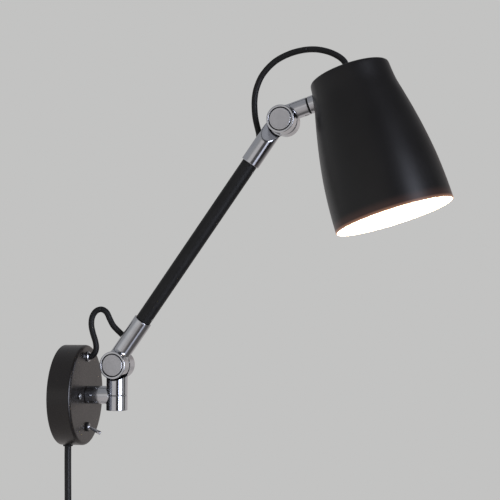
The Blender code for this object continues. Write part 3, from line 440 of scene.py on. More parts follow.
# ---------------- canopy and switch
def canopy():
    inside = CANOPY_R - CANOPY_SHEET
    low = CANOPY_DEPTH - CANOPY_SHEET
    corner = []
    for step in range(11):
        angle = math.radians(90.0 - 9.0 * step)
        corner.append((CANOPY_R - 3.0 + 3.0 * math.cos(angle), CANOPY_DEPTH - 3.0 + 3.0 * math.sin(angle)))
    profile = [(0.0, CANOPY_DEPTH), (30.0, CANOPY_DEPTH), (46.0, CANOPY_DEPTH), *corner, (CANOPY_R, 12.0),
               (CANOPY_R, 0.5), (CANOPY_R - 0.3, 0.1), (inside + 0.3, 0.1), (inside, 0.5), (inside, 12.0),
               (inside, CANOPY_DEPTH - 3.0), (inside - 0.6, low - 0.6), (inside - 2.0, low), (0.0, low)]
    turned_piece("canopy_shell", profile, 160, BASE, "wall_base", ["canopy_black"], "canopy")
    for side, name in ((-1.0, "left"), (1.0, "right")):
        cover_screw("cover_screw_head_" + name, side * SCREW_SPREAD, "cover_screw_" + name)


def cover_screw(name, x, node):
    seat = CANOPY_DEPTH + 0.2

    def field(p):
        head = bar(p, "z", CENTRE, 3.1, seat, seat + 1.8, 0.9)
        shank = bar(p, "z", CENTRE, 1.7, 16.0, seat + 0.5, 0.2)
        slot = slab(p, (0.0, 0.0, seat + 1.8), (0.8, 9.0, 1.6), 0.1)
        return remove(merge(head, shank, 0.2), slot, 0.2)

    carved_piece(name, field, (-3.1, -3.1, 16.0), (3.1, 3.1, seat + 1.8), 0.22,
                 BASE @ shift(x, 0.0, 0.0) @ turn("Z", 35.0), "wall_base", ["zinc_steel"], node)


def grommet():
    front = CANOPY_DEPTH + 0.2
    profile = [(4.4, front + 2.3), (5.2, front + 1.4), (5.3, front), (4.3, front), (4.3, 21.5), (3.7, 21.5),
               (3.7, front + 2.3)]
    turned_piece("grommet_ring", soften(profile, 0.5, True), 64, BASE @ shift(0.0, GROMMET_UP, 0.0),
                 "wall_base", ["polished_metal"], "flex_grommet", closed=True)
    low, high = CANOPY_R - 4.5, CANOPY_R + 1.6

    def field(p):
        sleeve = bar(p, "y", (0.0, 0.0, CORD_OUT), 5.2, -high, -low, 0.7)
        groove = bar(p, "y", (0.0, 0.0, CORD_OUT), 7.0, -CANOPY_R, -CANOPY_R + 1.5, 0.1)
        inner = bar(p, "y", (0.0, 0.0, CORD_OUT), 4.7, -high - 1.0, -low + 1.0, 0.1)
        hole = bar(p, "y", (0.0, 0.0, CORD_OUT), CORD_R + 0.2, -high - 2.0, -low + 2.0, 0.1)
        ringed = remove(sleeve, np.maximum(groove, -inner), 0.3)
        return np.maximum(remove(ringed, hole, 0.4), 0.2 - p[2])

    carved_piece("cord_bush_moulding", field, (-5.2, -high, 0.0), (5.2, -low, 9.6), 0.35, BASE, "wall_base",
                 ["rubber_black"], "cord_bush")


def toggle_switch():
    inside = CANOPY_DEPTH - CANOPY_SHEET - 0.3
    low, high = inside - 1.0, CANOPY_DEPTH + 3.0
    centre = (0.0, -TOGGLE_DOWN, 0.0)

    def case(p):
        body = slab(p, (0.0, -TOGGLE_DOWN, inside - 4.5), (13.0, 8.0, 9.0), 0.6)
        seam = slab(p, (0.0, -TOGGLE_DOWN, inside - 3.0), (14.0, 9.0, 0.4), 0.1)
        core = slab(p, (0.0, -TOGGLE_DOWN, inside - 3.0), (12.6, 7.6, 2.0), 0.1)
        return remove(body, np.maximum(seam, -core), 0.2)

    carved_piece("toggle_case", case, (-6.5, -36.5, inside - 9.0), (6.5, -28.5, inside), 0.4, BASE,
                 "wall_base", ["black_plastic"], "toggle_body")

    def bushing(p):
        thread = 0.12 * np.sin(p[2] * 2.0 * math.pi / 0.7)
        return remove(bar(p, "z", centre, 2.95, low, high, 0.3) + thread,
                      bar(p, "z", centre, 2.2, CANOPY_DEPTH - 0.4, high + 2.0, 0.1), 0.3)

    carved_piece("toggle_bushing", bushing, (-3.2, -36.0, low), (3.2, -29.0, high), 0.2, BASE, "wall_base",
                 ["polished_metal"])

    def nut(p):
        sides = np.full_like(p[0], -99.0)
        for index in range(3):
            angle = math.radians(60.0 * index)
            across = np.abs(p[0] * math.cos(angle) + (p[1] + TOGGLE_DOWN) * math.sin(angle))
            sides = np.maximum(sides, across - 4.3)
        domed = bar(p, "z", centre, 4.85, CANOPY_DEPTH + 0.15, CANOPY_DEPTH + 2.2, 0.5)
        hole = bar(p, "z", centre, 3.0, CANOPY_DEPTH - 2.0, CANOPY_DEPTH + 4.0, 0.1)
        return remove(-merge(-sides, -domed, 0.3), hole, 0.3)

    carved_piece("toggle_hex_nut", nut, (-5.0, -37.5, 24.5), (5.0, -27.5, 26.9), 0.22, BASE, "wall_base",
                 ["black_plastic"], "toggle_nut")
    profile = [(0.0, -1.8), (0.9, -1.55), (1.55, -0.9), (1.8, 0.0), (1.6, 0.8), (1.1, 1.5), (1.12, 2.8),
               (1.35, 5.5), (1.68, 9.0), (1.88, 11.4), (1.93, 13.8), (1.7, 14.35), (1.2, 14.4), (0.0, 14.4)]
    mesh = lathe("toggle_bat", profile, 40)
    piece("toggle_bat", mesh, TOGGLE, "toggle", ["polished_metal"], "toggle_lever")


# ---------------- knuckles
def knuckle(p, side):
    """The round half of a lap knuckle, on side -1 or +1 of the centre plane."""
    low, high = sorted((-side * 1.5, side * KNUCKLE_HALF))
    return bar(p, "x", CENTRE, KNUCKLE_R, low, high, 0.8)


def relieve(shape, p, side, scoop):
    """Clear the other half's turning circle, with a shoulder beyond it that opens by scoop over 24 mm."""
    near, far = sorted((side * -0.2, side * 40.0))
    shape = remove(shape, bar(p, "x", CENTRE, LAP_R, near, far, 0.05), 0.35)
    slope = scoop / 24.0
    away = np.hypot(p[1], p[2]) - LAP_R - slope * (side * p[0] + 1.0)
    return remove(shape, np.maximum(away / math.hypot(1.0, slope), -1.0 - side * p[0]), 0.9)


def bore(shape, p, side):
    """The cap's recess, the bolt's pocket and the pivot hole."""
    face = side * 20.0
    for radius, depth, soft in ((CAP_RECESS_R, CAP_FLOOR, 0.4), (8.2, 6.2, 0.2), (4.3, -3.0, 0.1)):
        low, high = sorted((side * depth, face))
        shape = remove(shape, bar(p, "x", CENTRE, radius, low, high, 0.05), soft)
    return shape


def cap(name, place, side, body, node):
    """A flush cap with a fine chamfer and a shallow dish."""
    profile = [(0.0, 13.45), (5.0, 13.46), (9.0, 13.52), (9.8, 13.6), (CAP_R - 0.4, 13.6), (CAP_R, 13.2),
               (CAP_R, 12.0), (0.0, 12.0)]
    turned_piece(name, soften(profile, 0.25), 96, place @ turn("Y", 90.0 * side), body, ["satin_cap"], node)


def post():
    """The wall post with the lower half of the swivel barrel at its end."""
    height = (0.0, 0.0, SWIVEL_OUT)

    def field(p):
        shape = merge(bar(p, "z", CENTRE, POST_R, CANOPY_DEPTH + 0.3, SWIVEL_OUT, 0.5),
                      bar(p, "y", height, BARREL_R, BARREL_BOTTOM, -0.15, 0.6), 0.2)
        shape = merge(shape, bar(p, "z", CENTRE, 5.0, 14.5, 36.0, 0.4), 0.3)
        shape = remove(shape, bar(p, "y", height, BARREL_R + 0.5, -0.15, 20.0, 0.05), 0.3)
        shape = remove(shape, bar(p, "y", height, 4.3, -20.0, 1.0, 0.1), 0.3)
        return remove(shape, bar(p, "y", height, 7.6, -20.0, -8.0, 0.1), 0.4)

    low, high = (-BARREL_R, BARREL_BOTTOM, 14.5), (BARREL_R, POST_R, SWIVEL_OUT + BARREL_R)
    carved_piece("wall_post_casting", field, low, high, 0.45, BASE, "wall_base", ["polished_metal"],
                 "wall_post")


def swivel():
    """The upper half of the swivel barrel with the rear half of the lower knuckle."""
    def field(p):
        q = np.array([p[0], p[1], p[2] - PIVOT_UP])
        shape = merge(bar(p, "z", CENTRE, BARREL_R, 0.15, PIVOT_UP, 0.6), knuckle(q, 1.0), 3.0)
        shape = remove(shape, bar(q, "x", CENTRE, SADDLE_R, -40.0, 0.2, 0.05), 0.35)
        shape = remove(shape, bar(p, "z", CENTRE, 4.3, -5.0, 11.0, 0.1), 0.3)
        return bore(shape, q, 1.0)

    # saddle and cap recess faces take the black second slot: painted shade in the gaps
    def painted_shade_faces(spot, _):
        saddle = spot.x < 0.4 and math.hypot(spot.y, spot.z - PIVOT_UP) < SADDLE_R + 0.15
        return saddle or in_recess(spot, 1.0, PIVOT_UP)

    low, high = (-11.0, -KNUCKLE_R, 0.15), (KNUCKLE_HALF, KNUCKLE_R, PIVOT_UP + KNUCKLE_R)
    carved_piece("swivel_casting", field, low, high, 0.45, SWIVEL, "swivel", METAL_AND_PAINTED_SHADE, "swivel_barrel",
                 second=painted_shade_faces)
    cap("lower_cap_rear_disc", ELBOW, 1.0, "swivel", "lower_cap_rear")


def way_in(turned, lean):
    """The direction in at the rod's upper side, turned to the far side and leaning down the arm."""
    turned, lean = math.radians(turned), math.radians(lean)
    return Vector((-math.sin(turned) * math.cos(lean), -math.cos(turned) * math.cos(lean), -math.sin(lean)))


def entry(z):
    angle = math.radians(18.0)
    return Vector((ROD_R * math.sin(angle), ROD_OFFSET + ROD_R * math.cos(angle), z))


LOWER_ENTRY, LOWER_WAY = entry(27.0), way_in(18.0, 0.0)
UPPER_ENTRY, UPPER_WAY = entry(ARM_LENGTH - 26.0), way_in(18.0, 42.0)


def bracket(name, place, side, entry, way, depth, node):
    """One end of the arm: a rod run into half a knuckle on a side, with the flex's hole in it."""
    end = -side * BRACKET_LENGTH

    def field(p):
        rod = bar(p, "z", (0.0, ROD_OFFSET, 0.0), ROD_R, *sorted((0.0, end + side * 0.3)), 0.5)
        shape = bore(relieve(merge(rod, knuckle(p, side), 3.0), p, -side, 26.0), p, side)
        return remove(shape, bore_along(p, entry, way, 3.5, depth), 0.9)

    ends = (side * KNUCKLE_HALF, -side * ROD_R), (-KNUCKLE_R, KNUCKLE_R), (end, side * KNUCKLE_R)
    low, high = zip(*map(sorted, ends))
    # the cap recess's wall and floor take the black second slot: painted shade in the groove
    carved_piece(name, field, low, high, 0.45, place, "arm", METAL_AND_PAINTED_SHADE, node,
                 second=lambda spot, _: in_recess(spot, side))


def brackets():
    bracket("lower_bracket_casting", ELBOW, -1.0, LOWER_ENTRY, LOWER_WAY, 9.0, "arm_lower_bracket")
    entry = UPPER_ENTRY - Vector((0.0, 0.0, ARM_LENGTH))
    bracket("upper_bracket_casting", UPPER, 1.0, entry, UPPER_WAY, 10.0, "arm_upper_bracket")
    cap("lower_cap_front_disc", ELBOW, -1.0, "arm", "lower_cap_front")
    cap("upper_cap_rear_disc", UPPER, 1.0, "arm", "upper_cap_rear")


def tube():
    top = ARM_LENGTH - BRACKET_LENGTH
    profile = [(TUBE_R, top), (TUBE_R, 200.0), (TUBE_R, 100.0), (TUBE_R, BRACKET_LENGTH),
               (TUBE_BORE, BRACKET_LENGTH), (TUBE_BORE, top)]
    turned_piece("arm_tube_sleeve", soften(profile, 0.35, True), 96, ELBOW @ shift(0.0, ROD_OFFSET, 0.0),
                 "arm", ["tube_black"], "arm_tube", closed=True)


# ---------------- head and shade
def outline_radius(height):
    """The shade's outer radius at a height above its mouth."""
    heights, radii = zip(*SHADE_OUTLINE)
    slopes = np.gradient(radii, heights)
    index = int(np.clip(np.searchsorted(heights, height) - 1, 0, len(heights) - 2))
    span = heights[index + 1] - heights[index]
    t = (height - heights[index]) / span
    return (radii[index] * (2 * t ** 3 - 3 * t ** 2 + 1) + slopes[index] * span * (t ** 3 - 2 * t ** 2 + t)
            + radii[index + 1] * (3 * t ** 2 - 2 * t ** 3) + slopes[index + 1] * span * (t ** 3 - t ** 2))


STUB_AXIS = (0.0, STUB_OFFSET, 0.0)


def head():
    def field(p):
        rod = bar(p, "z", STUB_AXIS, STUB_R, -0.4, STUB_LENGTH, 0.5)
        shape = relieve(merge(rod, knuckle(p, -1.0), 3.0), p, 1.0, 9.5)
        shape = bore(shape, p, -1.0)
        shape = remove(shape, bar(p, "z", STUB_AXIS, 3.3, 20.0, 40.0, 0.1), 0.2)
        return remove(shape, bar(p, "y", (0.0, 0.0, 24.5), 2.0, -9.0, STUB_OFFSET, 0.1), 0.3)

    low, high = (-KNUCKLE_HALF, -KNUCKLE_R, -KNUCKLE_R), (STUB_R, STUB_OFFSET + STUB_R, STUB_LENGTH)
    # the cap recess's wall and floor take the black second slot: painted shade in the groove
    carved_piece("head_casting", field, low, high, 0.45, HEAD, "head", METAL_AND_PAINTED_SHADE, "head_knuckle",
                 second=lambda spot, _: in_recess(spot, -1.0))
    cap("upper_cap_front_disc", HEAD, -1.0, "head", "upper_cap_front")

    def stub(p):
        rod = bar(p, "z", STUB_AXIS, STUB_R, STUB_LENGTH + 1.3, 50.0, 0.5)
        away = np.hypot(p[0], p[2] - SHADE_REACH)
        radii = np.interp(p[1] + SHADE_DROP, HEIGHTS, RADII)
        shape = remove(rod, away - radii - 0.1, 0.3)
        pin = bar(p, "z", STUB_AXIS, 3.0, 20.5, STUB_LENGTH + 6.0, 0.3)
        spigot = bar(p, "z", STUB_AXIS, 3.0, STUB_LENGTH + 3.0, 44.0, 0.3)
        groove = bar(p, "z", STUB_AXIS, 2.2, 22.3, 26.7, 0.2)
        collar = np.maximum(bar(p, "z", STUB_AXIS, 4.0, 22.3, 26.7, 0.1), -groove)
        return np.minimum(np.minimum(shape, remove(pin, collar, 0.2)), spigot)

    low, high = (-STUB_R, STUB_OFFSET - STUB_R, 20.5), (STUB_R, STUB_OFFSET + STUB_R, 44.0)
    carved_piece("shade_stub_casting", stub, low, high, 0.4, HEAD, "shade", ["polished_metal"], "shade_stub")
    low, high = STUB_LENGTH + 0.2, STUB_LENGTH + 1.1
    profile = [(STUB_R - 0.4, high), (STUB_R - 0.4, low), (3.3, low), (3.3, high)]
    turned_piece("head_gasket", soften(profile, 0.2, True), 64, HEAD @ shift(0.0, STUB_OFFSET, 0.0), "head",
                 ["rubber_black"], "head_ring", closed=True)


HEIGHTS = [0.5 * step for step in range(297)]
RADII = [outline_radius(height) for height in HEIGHTS]


def shade():
    """The spun shade: satin black outside, white inside, with a turned lip."""
    top_r = outline_radius(SHADE_HEIGHT)
    fillet = []
    for step in range(9):
        angle = math.radians(90.0 - 10.0 * step)
        fillet.append((top_r - 2.0 + 2.0 * math.cos(angle), SHADE_HEIGHT - 2.0 + 2.0 * math.sin(angle)))
    heights = [145.0 - 2.4 * step for step in range(61)]
    outside = [(outline_radius(height), height) for height in heights if height > 0.8]
    lip = [(outline_radius(0.3), 0.35), (outline_radius(0.0) - 0.25, 0.05), (outline_radius(0.0) - 0.6, 0.0)]
    ceiling = SHADE_HEIGHT - SHADE_SHEET
    back = [(outline_radius(0.0) - 0.95, 0.05), (outline_radius(0.3) - SHADE_SHEET, 0.35)]
    inside = [(radius - SHADE_SHEET, height) for radius, height in reversed(outside)]
    shoulder = [(top_r - 1.6, ceiling - 1.4), (top_r - 2.2, ceiling - 0.5), (top_r - 3.2, ceiling)]
    crown = [(0.0, SHADE_HEIGHT), (20.0, SHADE_HEIGHT), (33.0, SHADE_HEIGHT), (top_r - 2.6, SHADE_HEIGHT)]
    profile = [*crown, *fillet, *outside, *lip, *back, *inside, *shoulder, (20.0, ceiling), (0.0, ceiling)]

    def white(spot, way):
        """Whether a face is on the inside."""
        radius = math.hypot(spot.x, spot.y)
        if spot.z < ceiling - 3.0:
            return radius < outline_radius(spot.z) - 0.62
        return way.z < -0.2 or (radius < top_r - 0.9 and way.z < 0.2)

    turned_piece("shade_shell", profile, 192, SHADE, "shade", ["shade_black", "shade_white"], "shade",
                 second=white)


def lamp():
    """Cord grip, lampholder and bulb."""
    ceiling = SHADE_HEIGHT - SHADE_SHEET
    grip_top = SHADE_HEIGHT + 6.8
    grip = [(4.2, grip_top), (5.3, grip_top - 1.4), (5.8, SHADE_HEIGHT + 1.6), (6.2, SHADE_HEIGHT + 1.4),
            (6.2, SHADE_HEIGHT + 0.1), (4.9, SHADE_HEIGHT + 0.1), (4.9, ceiling - 6.0), (3.3, ceiling - 6.0),
            (3.3, grip_top)]
    turned_piece("cord_grip_ferrule", soften(grip, 0.4, True), 72, SHADE, "shade", ["polished_metal"],
                 "cord_grip", closed=True)
    high = ceiling - 0.3
    cover = [(5.2, high), (12.0, high), (16.5, high - 4.0), (19.0, high - 8.5), (19.5, high - 14.0),
             (5.2, high - 14.0)]
    turned_piece("holder_cover", soften(cover, 1.6, True, 6), 96, SHADE, "shade", ["black_plastic"],
                 "lampholder_cap", closed=True)
    high -= 14.3
    ribs = []
    for step in range(7):
        level = high - 8.2 - 2.2 * step
        ribs += [(17.5, level), (17.1, level - 0.5), (17.1, level - 1.1), (17.5, level - 1.6)]
    holder = [(0.0, high), (19.4, high), (19.5, high - 0.6), (19.5, high - 5.6), (19.3, high - 6.0),
              (17.5, high - 7.0), *ribs, (17.5, high - 23.6), (17.1, high - 24.0), (14.6, high - 24.0),
              (14.2, high - 23.6), (14.2, high - 6.0), (0.0, high - 6.0)]
    turned_piece("holder_skirt", holder, 96, SHADE, "shade", ["black_plastic"], "lampholder")
    high -= 7.0
    thread = []
    for step in range(33):
        level = high - 5.0 - 14.0 * step / 32.0
        thread.append((12.75 + 0.45 * math.cos(step * math.pi / 4.0), level))
    base = [(0.0, high), (4.6, high), (5.0, high - 0.4), (10.6, high - 2.5), *thread, (13.0, high - 20.0),
            (0.0, high - 20.0)]
    piece("bulb_thread", lathe("bulb_thread", base, 72), SHADE, "shade", ["zinc_steel"], "bulb_cap")
    neck = high - 20.3
    centre = neck - 31.0
    globe = [(0.0, neck), (12.6, neck), (13.0, neck - 0.5), (13.2, neck - 4.0), (13.9, neck - 9.0)]
    for step in range(25):
        angle = math.radians(48.0 - 138.0 * step / 24.0)
        globe.append((max(0.0, 22.5 * math.cos(angle)), centre + 22.5 * math.sin(angle)))
    piece("bulb_opal", lathe("bulb_opal", globe, 96), SHADE, "shade", ["opal_bulb"], "bulb_globe")
    data = bpy.data.lights.new("bulb_light", "POINT")
    data.energy = 1.0
    data.color = (1.0, 0.78, 0.55)
    data.shadow_soft_size = 0.012
    light = add_object("bulb_light", data)
    light.matrix_world = SHADE @ shift(0.0, 0.0, 36.0)
    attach(light, "shade")


# ---------------- leads
def smooth_route(points, spacing):
    """Points in metres at an even spacing on a Catmull-Rom curve through the given ones."""
    points = [Vector(point) for point in points]
    padded = [2 * points[0] - points[1], *points, 2 * points[-1] - points[-2]]
    fine = []
    for a, b, c, d in zip(padded, padded[1:], padded[2:], padded[3:]):
        for step in range(20):
            t = step / 20.0
            fine.append(0.5 * (2 * b + (c - a) * t + (2 * a - 5 * b + 4 * c - d) * t ** 2
                               + (3 * b - a - 3 * c + d) * t ** 3))
    fine.append(points[-1])
    line = np.array(fine)
    travelled = np.concatenate([[0.0], np.cumsum(np.linalg.norm(np.diff(line, axis=0), axis=1))])
    wanted = np.linspace(0.0, travelled[-1], max(3, round(travelled[-1] / spacing) + 1))
    return [Vector(point) for point in zip(*(np.interp(wanted, travelled, line[:, i]) for i in range(3)))]


def rings_along(points, radius, sides=28):
    """Rings of a tube about a route, without twist."""
    side = (points[1] - points[0]).orthogonal().normalized()
    rings = []
    for index, point in enumerate(points):
        way = (points[min(index + 1, len(points) - 1)] - points[max(index - 1, 0)]).normalized()
        side = (side - way * side.dot(way)).normalized()
        other = way.cross(side)
        angles = [2.0 * math.pi * step / sides for step in range(sides)]
        rings.append([point + (side * math.cos(a) + other * math.sin(a)) * radius for a in angles])
    return rings


def tube_mesh(name, rings):
    """A mesh through rings, closed with a fan at each end."""
    sides = len(rings[0])
    verts = [point for loop in rings for point in loop]
    faces = []
    for row in range(len(rings) - 1):
        for step in range(sides):
            a, b = row * sides + step, row * sides + (step + 1) % sides
            faces.append((a, b, b + sides, a + sides))
    faces.append(tuple(reversed(range(sides))))
    faces.append(tuple(range((len(rings) - 1) * sides, len(rings) * sides)))
    mesh = bpy.data.meshes.new(name)
    mesh.from_pydata(verts, [], faces)
    mesh.shade_smooth()
    return mesh


def loop(name, points, node, bodies, starts, ends):
    """A flex loop in two halves that meet at its top."""
    top = max(range(len(points)), key=lambda index: points[index].z)
    rings = rings_along(points, FLEX_R * MM)
    halves = [("start", rings[:top + 1], bodies[:2], starts, points[top]),
              ("end", rings[top:], bodies[1:], points[top], ends)]
    for part, some, (first, second), begin, stop in halves:
        mesh = tube_mesh(name + "_" + part, some)
        keep_grain(mesh)
        mesh.materials.append(coated("rubber_black"))
        half = add_object(name + "_" + part, mesh)
        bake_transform(half)
        if part == "start":
            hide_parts(node)


def lower_loop():
    middle = [(28.0, 39.0, 0.0), (32.0, 42.3, 0.0), (33.7, 48.0, 0.0), (32.6, 55.0, 0.2), (29.9, 63.0, 0.4),
              (28.0, 71.5, 0.7), (28.7, 79.6, 1.0), (32.6, 85.7, 1.3), (38.5, 87.6, 1.7), (43.8, 84.4, 2.1),
              (47.4, 77.3, 2.4), (51.4, 70.3, 2.7)]                  # out, up and across
    route = [Vector((0.0, -0.019, 0.039)), Vector((0.0, -0.024, 0.039))]
    route += [Vector((across, -out, up)) * MM for out, up, across in middle]
    route += [ELBOW @ ((LOWER_ENTRY + LOWER_WAY * depth) * MM) for depth in (-4.5, 0.0, 6.0)]
    loop("lower_flex_loop", smooth_route(route, 0.0015), "lower_flex", ("wall_base", "swivel", "arm"),
         (0.0, -0.0335, 0.047), ELBOW @ ((LOWER_ENTRY - LOWER_WAY * 1.5) * MM))


def upper_loop():
    lean, tilt = math.radians(54.0), math.radians(17.0)

    def beside(out, up, across):
        """A point beside the upper pivot, measured level and upright, in the elbow frame."""
        along_arm = out * math.cos(lean) + up * math.sin(lean)
        above_arm = -out * math.sin(lean) + up * math.cos(lean)
        return Vector((across, above_arm, ARM_LENGTH + along_arm))

    def on_axis(height):
        rise = height - SHADE_DROP
        return beside(SHADE_REACH * math.cos(tilt) - rise * math.sin(tilt),
                      SHADE_REACH * math.sin(tilt) + rise * math.cos(tilt), 0.0)

    middle = [(-29.3, 3.5, 2.6), (-30.4, 14.0, 2.4), (-30.2, 25.0, 2.2), (-27.9, 36.0, 2.0),
              (-21.6, 48.6, 1.7), (-9.8, 60.0, 1.3), (4.5, 66.8, 1.0), (19.5, 69.9, 0.7), (33.5, 69.6, 0.4),
              (46.0, 66.2, 0.2), (55.8, 61.0, 0.0), (61.8, 55.4, 0.0)]
    route = [UPPER_ENTRY + UPPER_WAY * depth for depth in (7.0, 0.0, -4.0)]
    route += [beside(*point) for point in middle]
    route += [on_axis(height) for height in (154.0, 148.0, 142.5)]
    points = smooth_route([ELBOW @ (point * MM) for point in route], 0.002)
    loop("upper_flex_loop", points, "upper_flex", ("arm", "head", "shade"),
         ELBOW @ ((UPPER_ENTRY - UPPER_WAY * 2.0) * MM), SHADE @ Vector((0.0, 0.0, 0.158)))


def cord_route():
    """The mains lead: down the wall, round the coil in two layers and down into the plug."""
    centre = Vector((COIL_OUTER_R, 0.0, -COIL_DROP))
    back, front = -CORD_OUT - 1.0, -CORD_OUT - 1.0 - 2.0 * CORD_R - 0.05
    points = [(0.0, -CORD_OUT, -47.5), (0.0, -CORD_OUT, -52.0), (0.0, -CORD_OUT, -60.0), (0.0, -4.4, -72.0),
              (0.0, -4.7, -90.0), (0.0, -5.0, -110.0), (0.0, -5.2, -130.0), (0.0, back, -150.0),
              (0.0, back, -168.0)]
    pitch = 2.0 * CORD_R
    inner = COIL_OUTER_R - pitch * COIL_CROSSED
    for step in range(COIL_TURNS * 24 + 1):
        turned = step / 24.0
        if turned <= COIL_CROSSING:
            radius, depth = COIL_OUTER_R - pitch * turned, back
        elif turned <= COIL_CROSSED:
            share = (turned - COIL_CROSSING) / (COIL_CROSSED - COIL_CROSSING)
            radius = COIL_OUTER_R - pitch * turned - math.sin(math.pi * share)
            depth = back + (front - back) * share * share * (3.0 - 2.0 * share)
        else:
            share = (turned - COIL_CROSSED) / (COIL_TURNS - COIL_CROSSED)
            radius, depth = inner + (COIL_OUTER_R - inner) * share, front
        angle = math.pi * (1.0 + 2.0 * turned)
        points.append((centre.x + radius * math.cos(angle), depth, centre.z + radius * math.sin(angle)))
    points += [(0.0, front, height) for height in (-200.0, -212.0, -224.0)]
    return [Vector(point) * MM for point in points]


def mains_lead():
    points = smooth_route(cord_route(), 0.004)
    data = bpy.data.curves.new("mains_lead", "CURVE")
    data.dimensions = "3D"
    data.bevel_depth = CORD_R * MM
    data.bevel_resolution = 5
    data.use_fill_caps = True
    spline = data.splines.new("POLY")
    spline.points.add(len(points) - 1)
    for spot, point in zip(spline.points, points):
        spot.co = (*point, 1.0)
    spline.use_smooth = True
    data.materials.append(coated("cord_black", False))
    lead = add_object("mains_lead", data)
    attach(lead, "wall_base")
    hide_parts("mains_cord", "cord_coil", "plug_cord")
    coil_tie()
    mains_plug()


def coil_tie():
    """A strap round the coil's lowest part."""
    def field(p):
        lowest = (0.0, -COIL_MEAN_R, 0.0)
        limit = slab(p, lowest, (12.0, 30.6, 16.4), 3.0) - 3.0
        band = np.maximum(slab(p, lowest, (40.0, 30.6, 16.4), 3.2), np.abs(p[0]) - 5.9)
        return np.maximum(remove(band, slab(p, lowest, (40.0, 28.6, 14.6), 2.6), 0.3), limit)

    low, high = (-6.2, -COIL_MEAN_R - 15.6, -8.4), (6.2, -COIL_MEAN_R + 15.6, 8.4)
    return carved_piece("cord_tie_strap", field, low, high, 0.4, COIL, "wall_base", ["rubber_black"],
                        "cord_tie")


def mains_plug():
    """A moulded three pin plug with a ribbed relief."""
    top = -57.9

    def body(p):
        block = slab(p, (0.0, top - 25.0, 0.0), (48.0, 50.0, 15.0), 4.0)
        narrow = np.abs(p[0]) - 24.0 + 0.16 * np.maximum(p[1] - top + 22.0, 0.0) ** 1.35
        block = -merge(-block, -narrow * 0.8, 3.0)
        grips = [slab(p, (side * 25.2, top - 20.0 - 3.2 * row, 0.0), (4.0, 1.5, 20.0), 0.4)
                 for side in (-1.0, 1.0) for row in range(5)]
        for grip in grips:
            block = remove(block, grip, 0.5)
        share = np.clip((-33.9 - p[1]) / 30.0, 0.0, 1.0)
        ribs = 0.28 * np.sin(p[1] * 2.0 * math.pi / 3.4)
        cone = np.hypot(p[0], p[2]) - 4.4 - 2.2 * share + ribs
        relief = np.maximum(cone, np.abs(p[1] + 50.0) - 16.0)
        shape = merge(block, relief, 2.5)
        return remove(shape, bar(p, "y", (0.0, 0.0, 0.0), CORD_R + 0.05, -39.0, -30.0, 0.1), 0.3)

    def pins(p):
        upper = slab(p, (0.0, top - 11.0, 18.35), (8.0, 4.0, 23.7), 0.7)
        left, right = [slab(p, (x, top - 33.3, 15.85), (6.35 * 0.63, 6.35, 18.7), 0.7)
                       for x in (-11.1, 11.1)]
        return np.minimum(np.minimum(upper, left), right)

    return [carved_piece("plug_moulding", body, (-24.0, top - 50.0, -7.5), (24.0, -33.5, 7.5), 0.7, PLUG,
                         "wall_base", ["plug_black"], "plug"),
            carved_piece("plug_pins", pins, (-14.0, top - 38.0, 6.0), (14.0, top - 8.0, 30.5), 0.5, PLUG,
                         "wall_base", ["earth_brass"])]


# ---------------- carried over parts
def carried_over():
    """Fine finishes for the CAD parts that stay."""
    wanted = {
        "zinc_steel": ("mounting_plate", "post_washer", "post_nut", "cord_clamp", "cord_clamp_screw",
                       "swivel_bolt", "swivel_washer", "lower_pivot_bolt", "lower_pivot_nut",
                       "lower_disc_spring", "upper_pivot_bolt", "upper_pivot_nut", "upper_disc_spring",
                       "lower_grub_screw", "upper_grub_screw", "head_grub_screw", "stub_washer", "stub_nut"),
        "black_plastic": ("lower_friction_washer", "upper_friction_washer"),
        "white_plastic": ("terminal_block",),
        "earth_brass": ("earth_screw",),
        "rubber_black": ("inner_lead",),
    }
    for slot, names in wanted.items():
        for name in names:
            node = NODES[name]
            if not node.material_slots:
                node.data.materials.append(coated(slot, False))
            for spot in node.material_slots:
                spot.material = coated(slot, False)


# ---------------- studio
FLOOR_HEIGHT, FLOOR_HALF = -0.6, 2.5          # metres


def floor():
    mesh = bpy.data.meshes.new("studio_floor")
    shape = bmesh.new()
    bmesh.ops.create_grid(shape, x_segments=1, y_segments=1, size=FLOOR_HALF)
    shape.to_mesh(mesh)
    shape.free()
    ground = add_object("studio_floor", mesh)
    ground.location = (0.0, 0.0, FLOOR_HEIGHT)
    pale = ((0.78, 0.78, 0.77), (0.83, 0.83, 0.82))
    mesh.materials.append(finish("pale_floor", pale, (0.7, 0.8), patch=2.0, grain=60.0, relief=0.05))
    ground.visible_glossy = False


def soft_light(name, place, aim, size, power):
    data = bpy.data.lights.new(name, "AREA")
    data.size, data.energy = size, power
    light = add_object(name, data)
    light.location = place
    light.rotation_euler = (Vector(aim) - Vector(place)).to_track_quat("-Z", "Y").to_euler()
    light.visible_glossy = False


def levels(nodes, links, where, stops, place):
    """A ramp through (stop, level, warmth) rows."""
    ramp = add_node(nodes, "ValToRGB")
    held = ramp.color_ramp.elements
    held.remove(held[1])
    for index, (stop, level, warmth) in enumerate(stops):
        spot = held[0] if index == 0 else held.new(place(stop))
        spot.position = place(stop)
        spot.color = (level * warmth, level * (1.0 - 0.6 * abs(warmth - 1.0)), level * (2.0 - warmth), 1.0)
    links.new(where, ramp.inputs["Fac"])
    return ramp.outputs["Color"]


def of_bearing(degrees):
    return (degrees + 180.0) / 360.0


def of_sine(sine):
    return (sine + 1.0) / 2.0


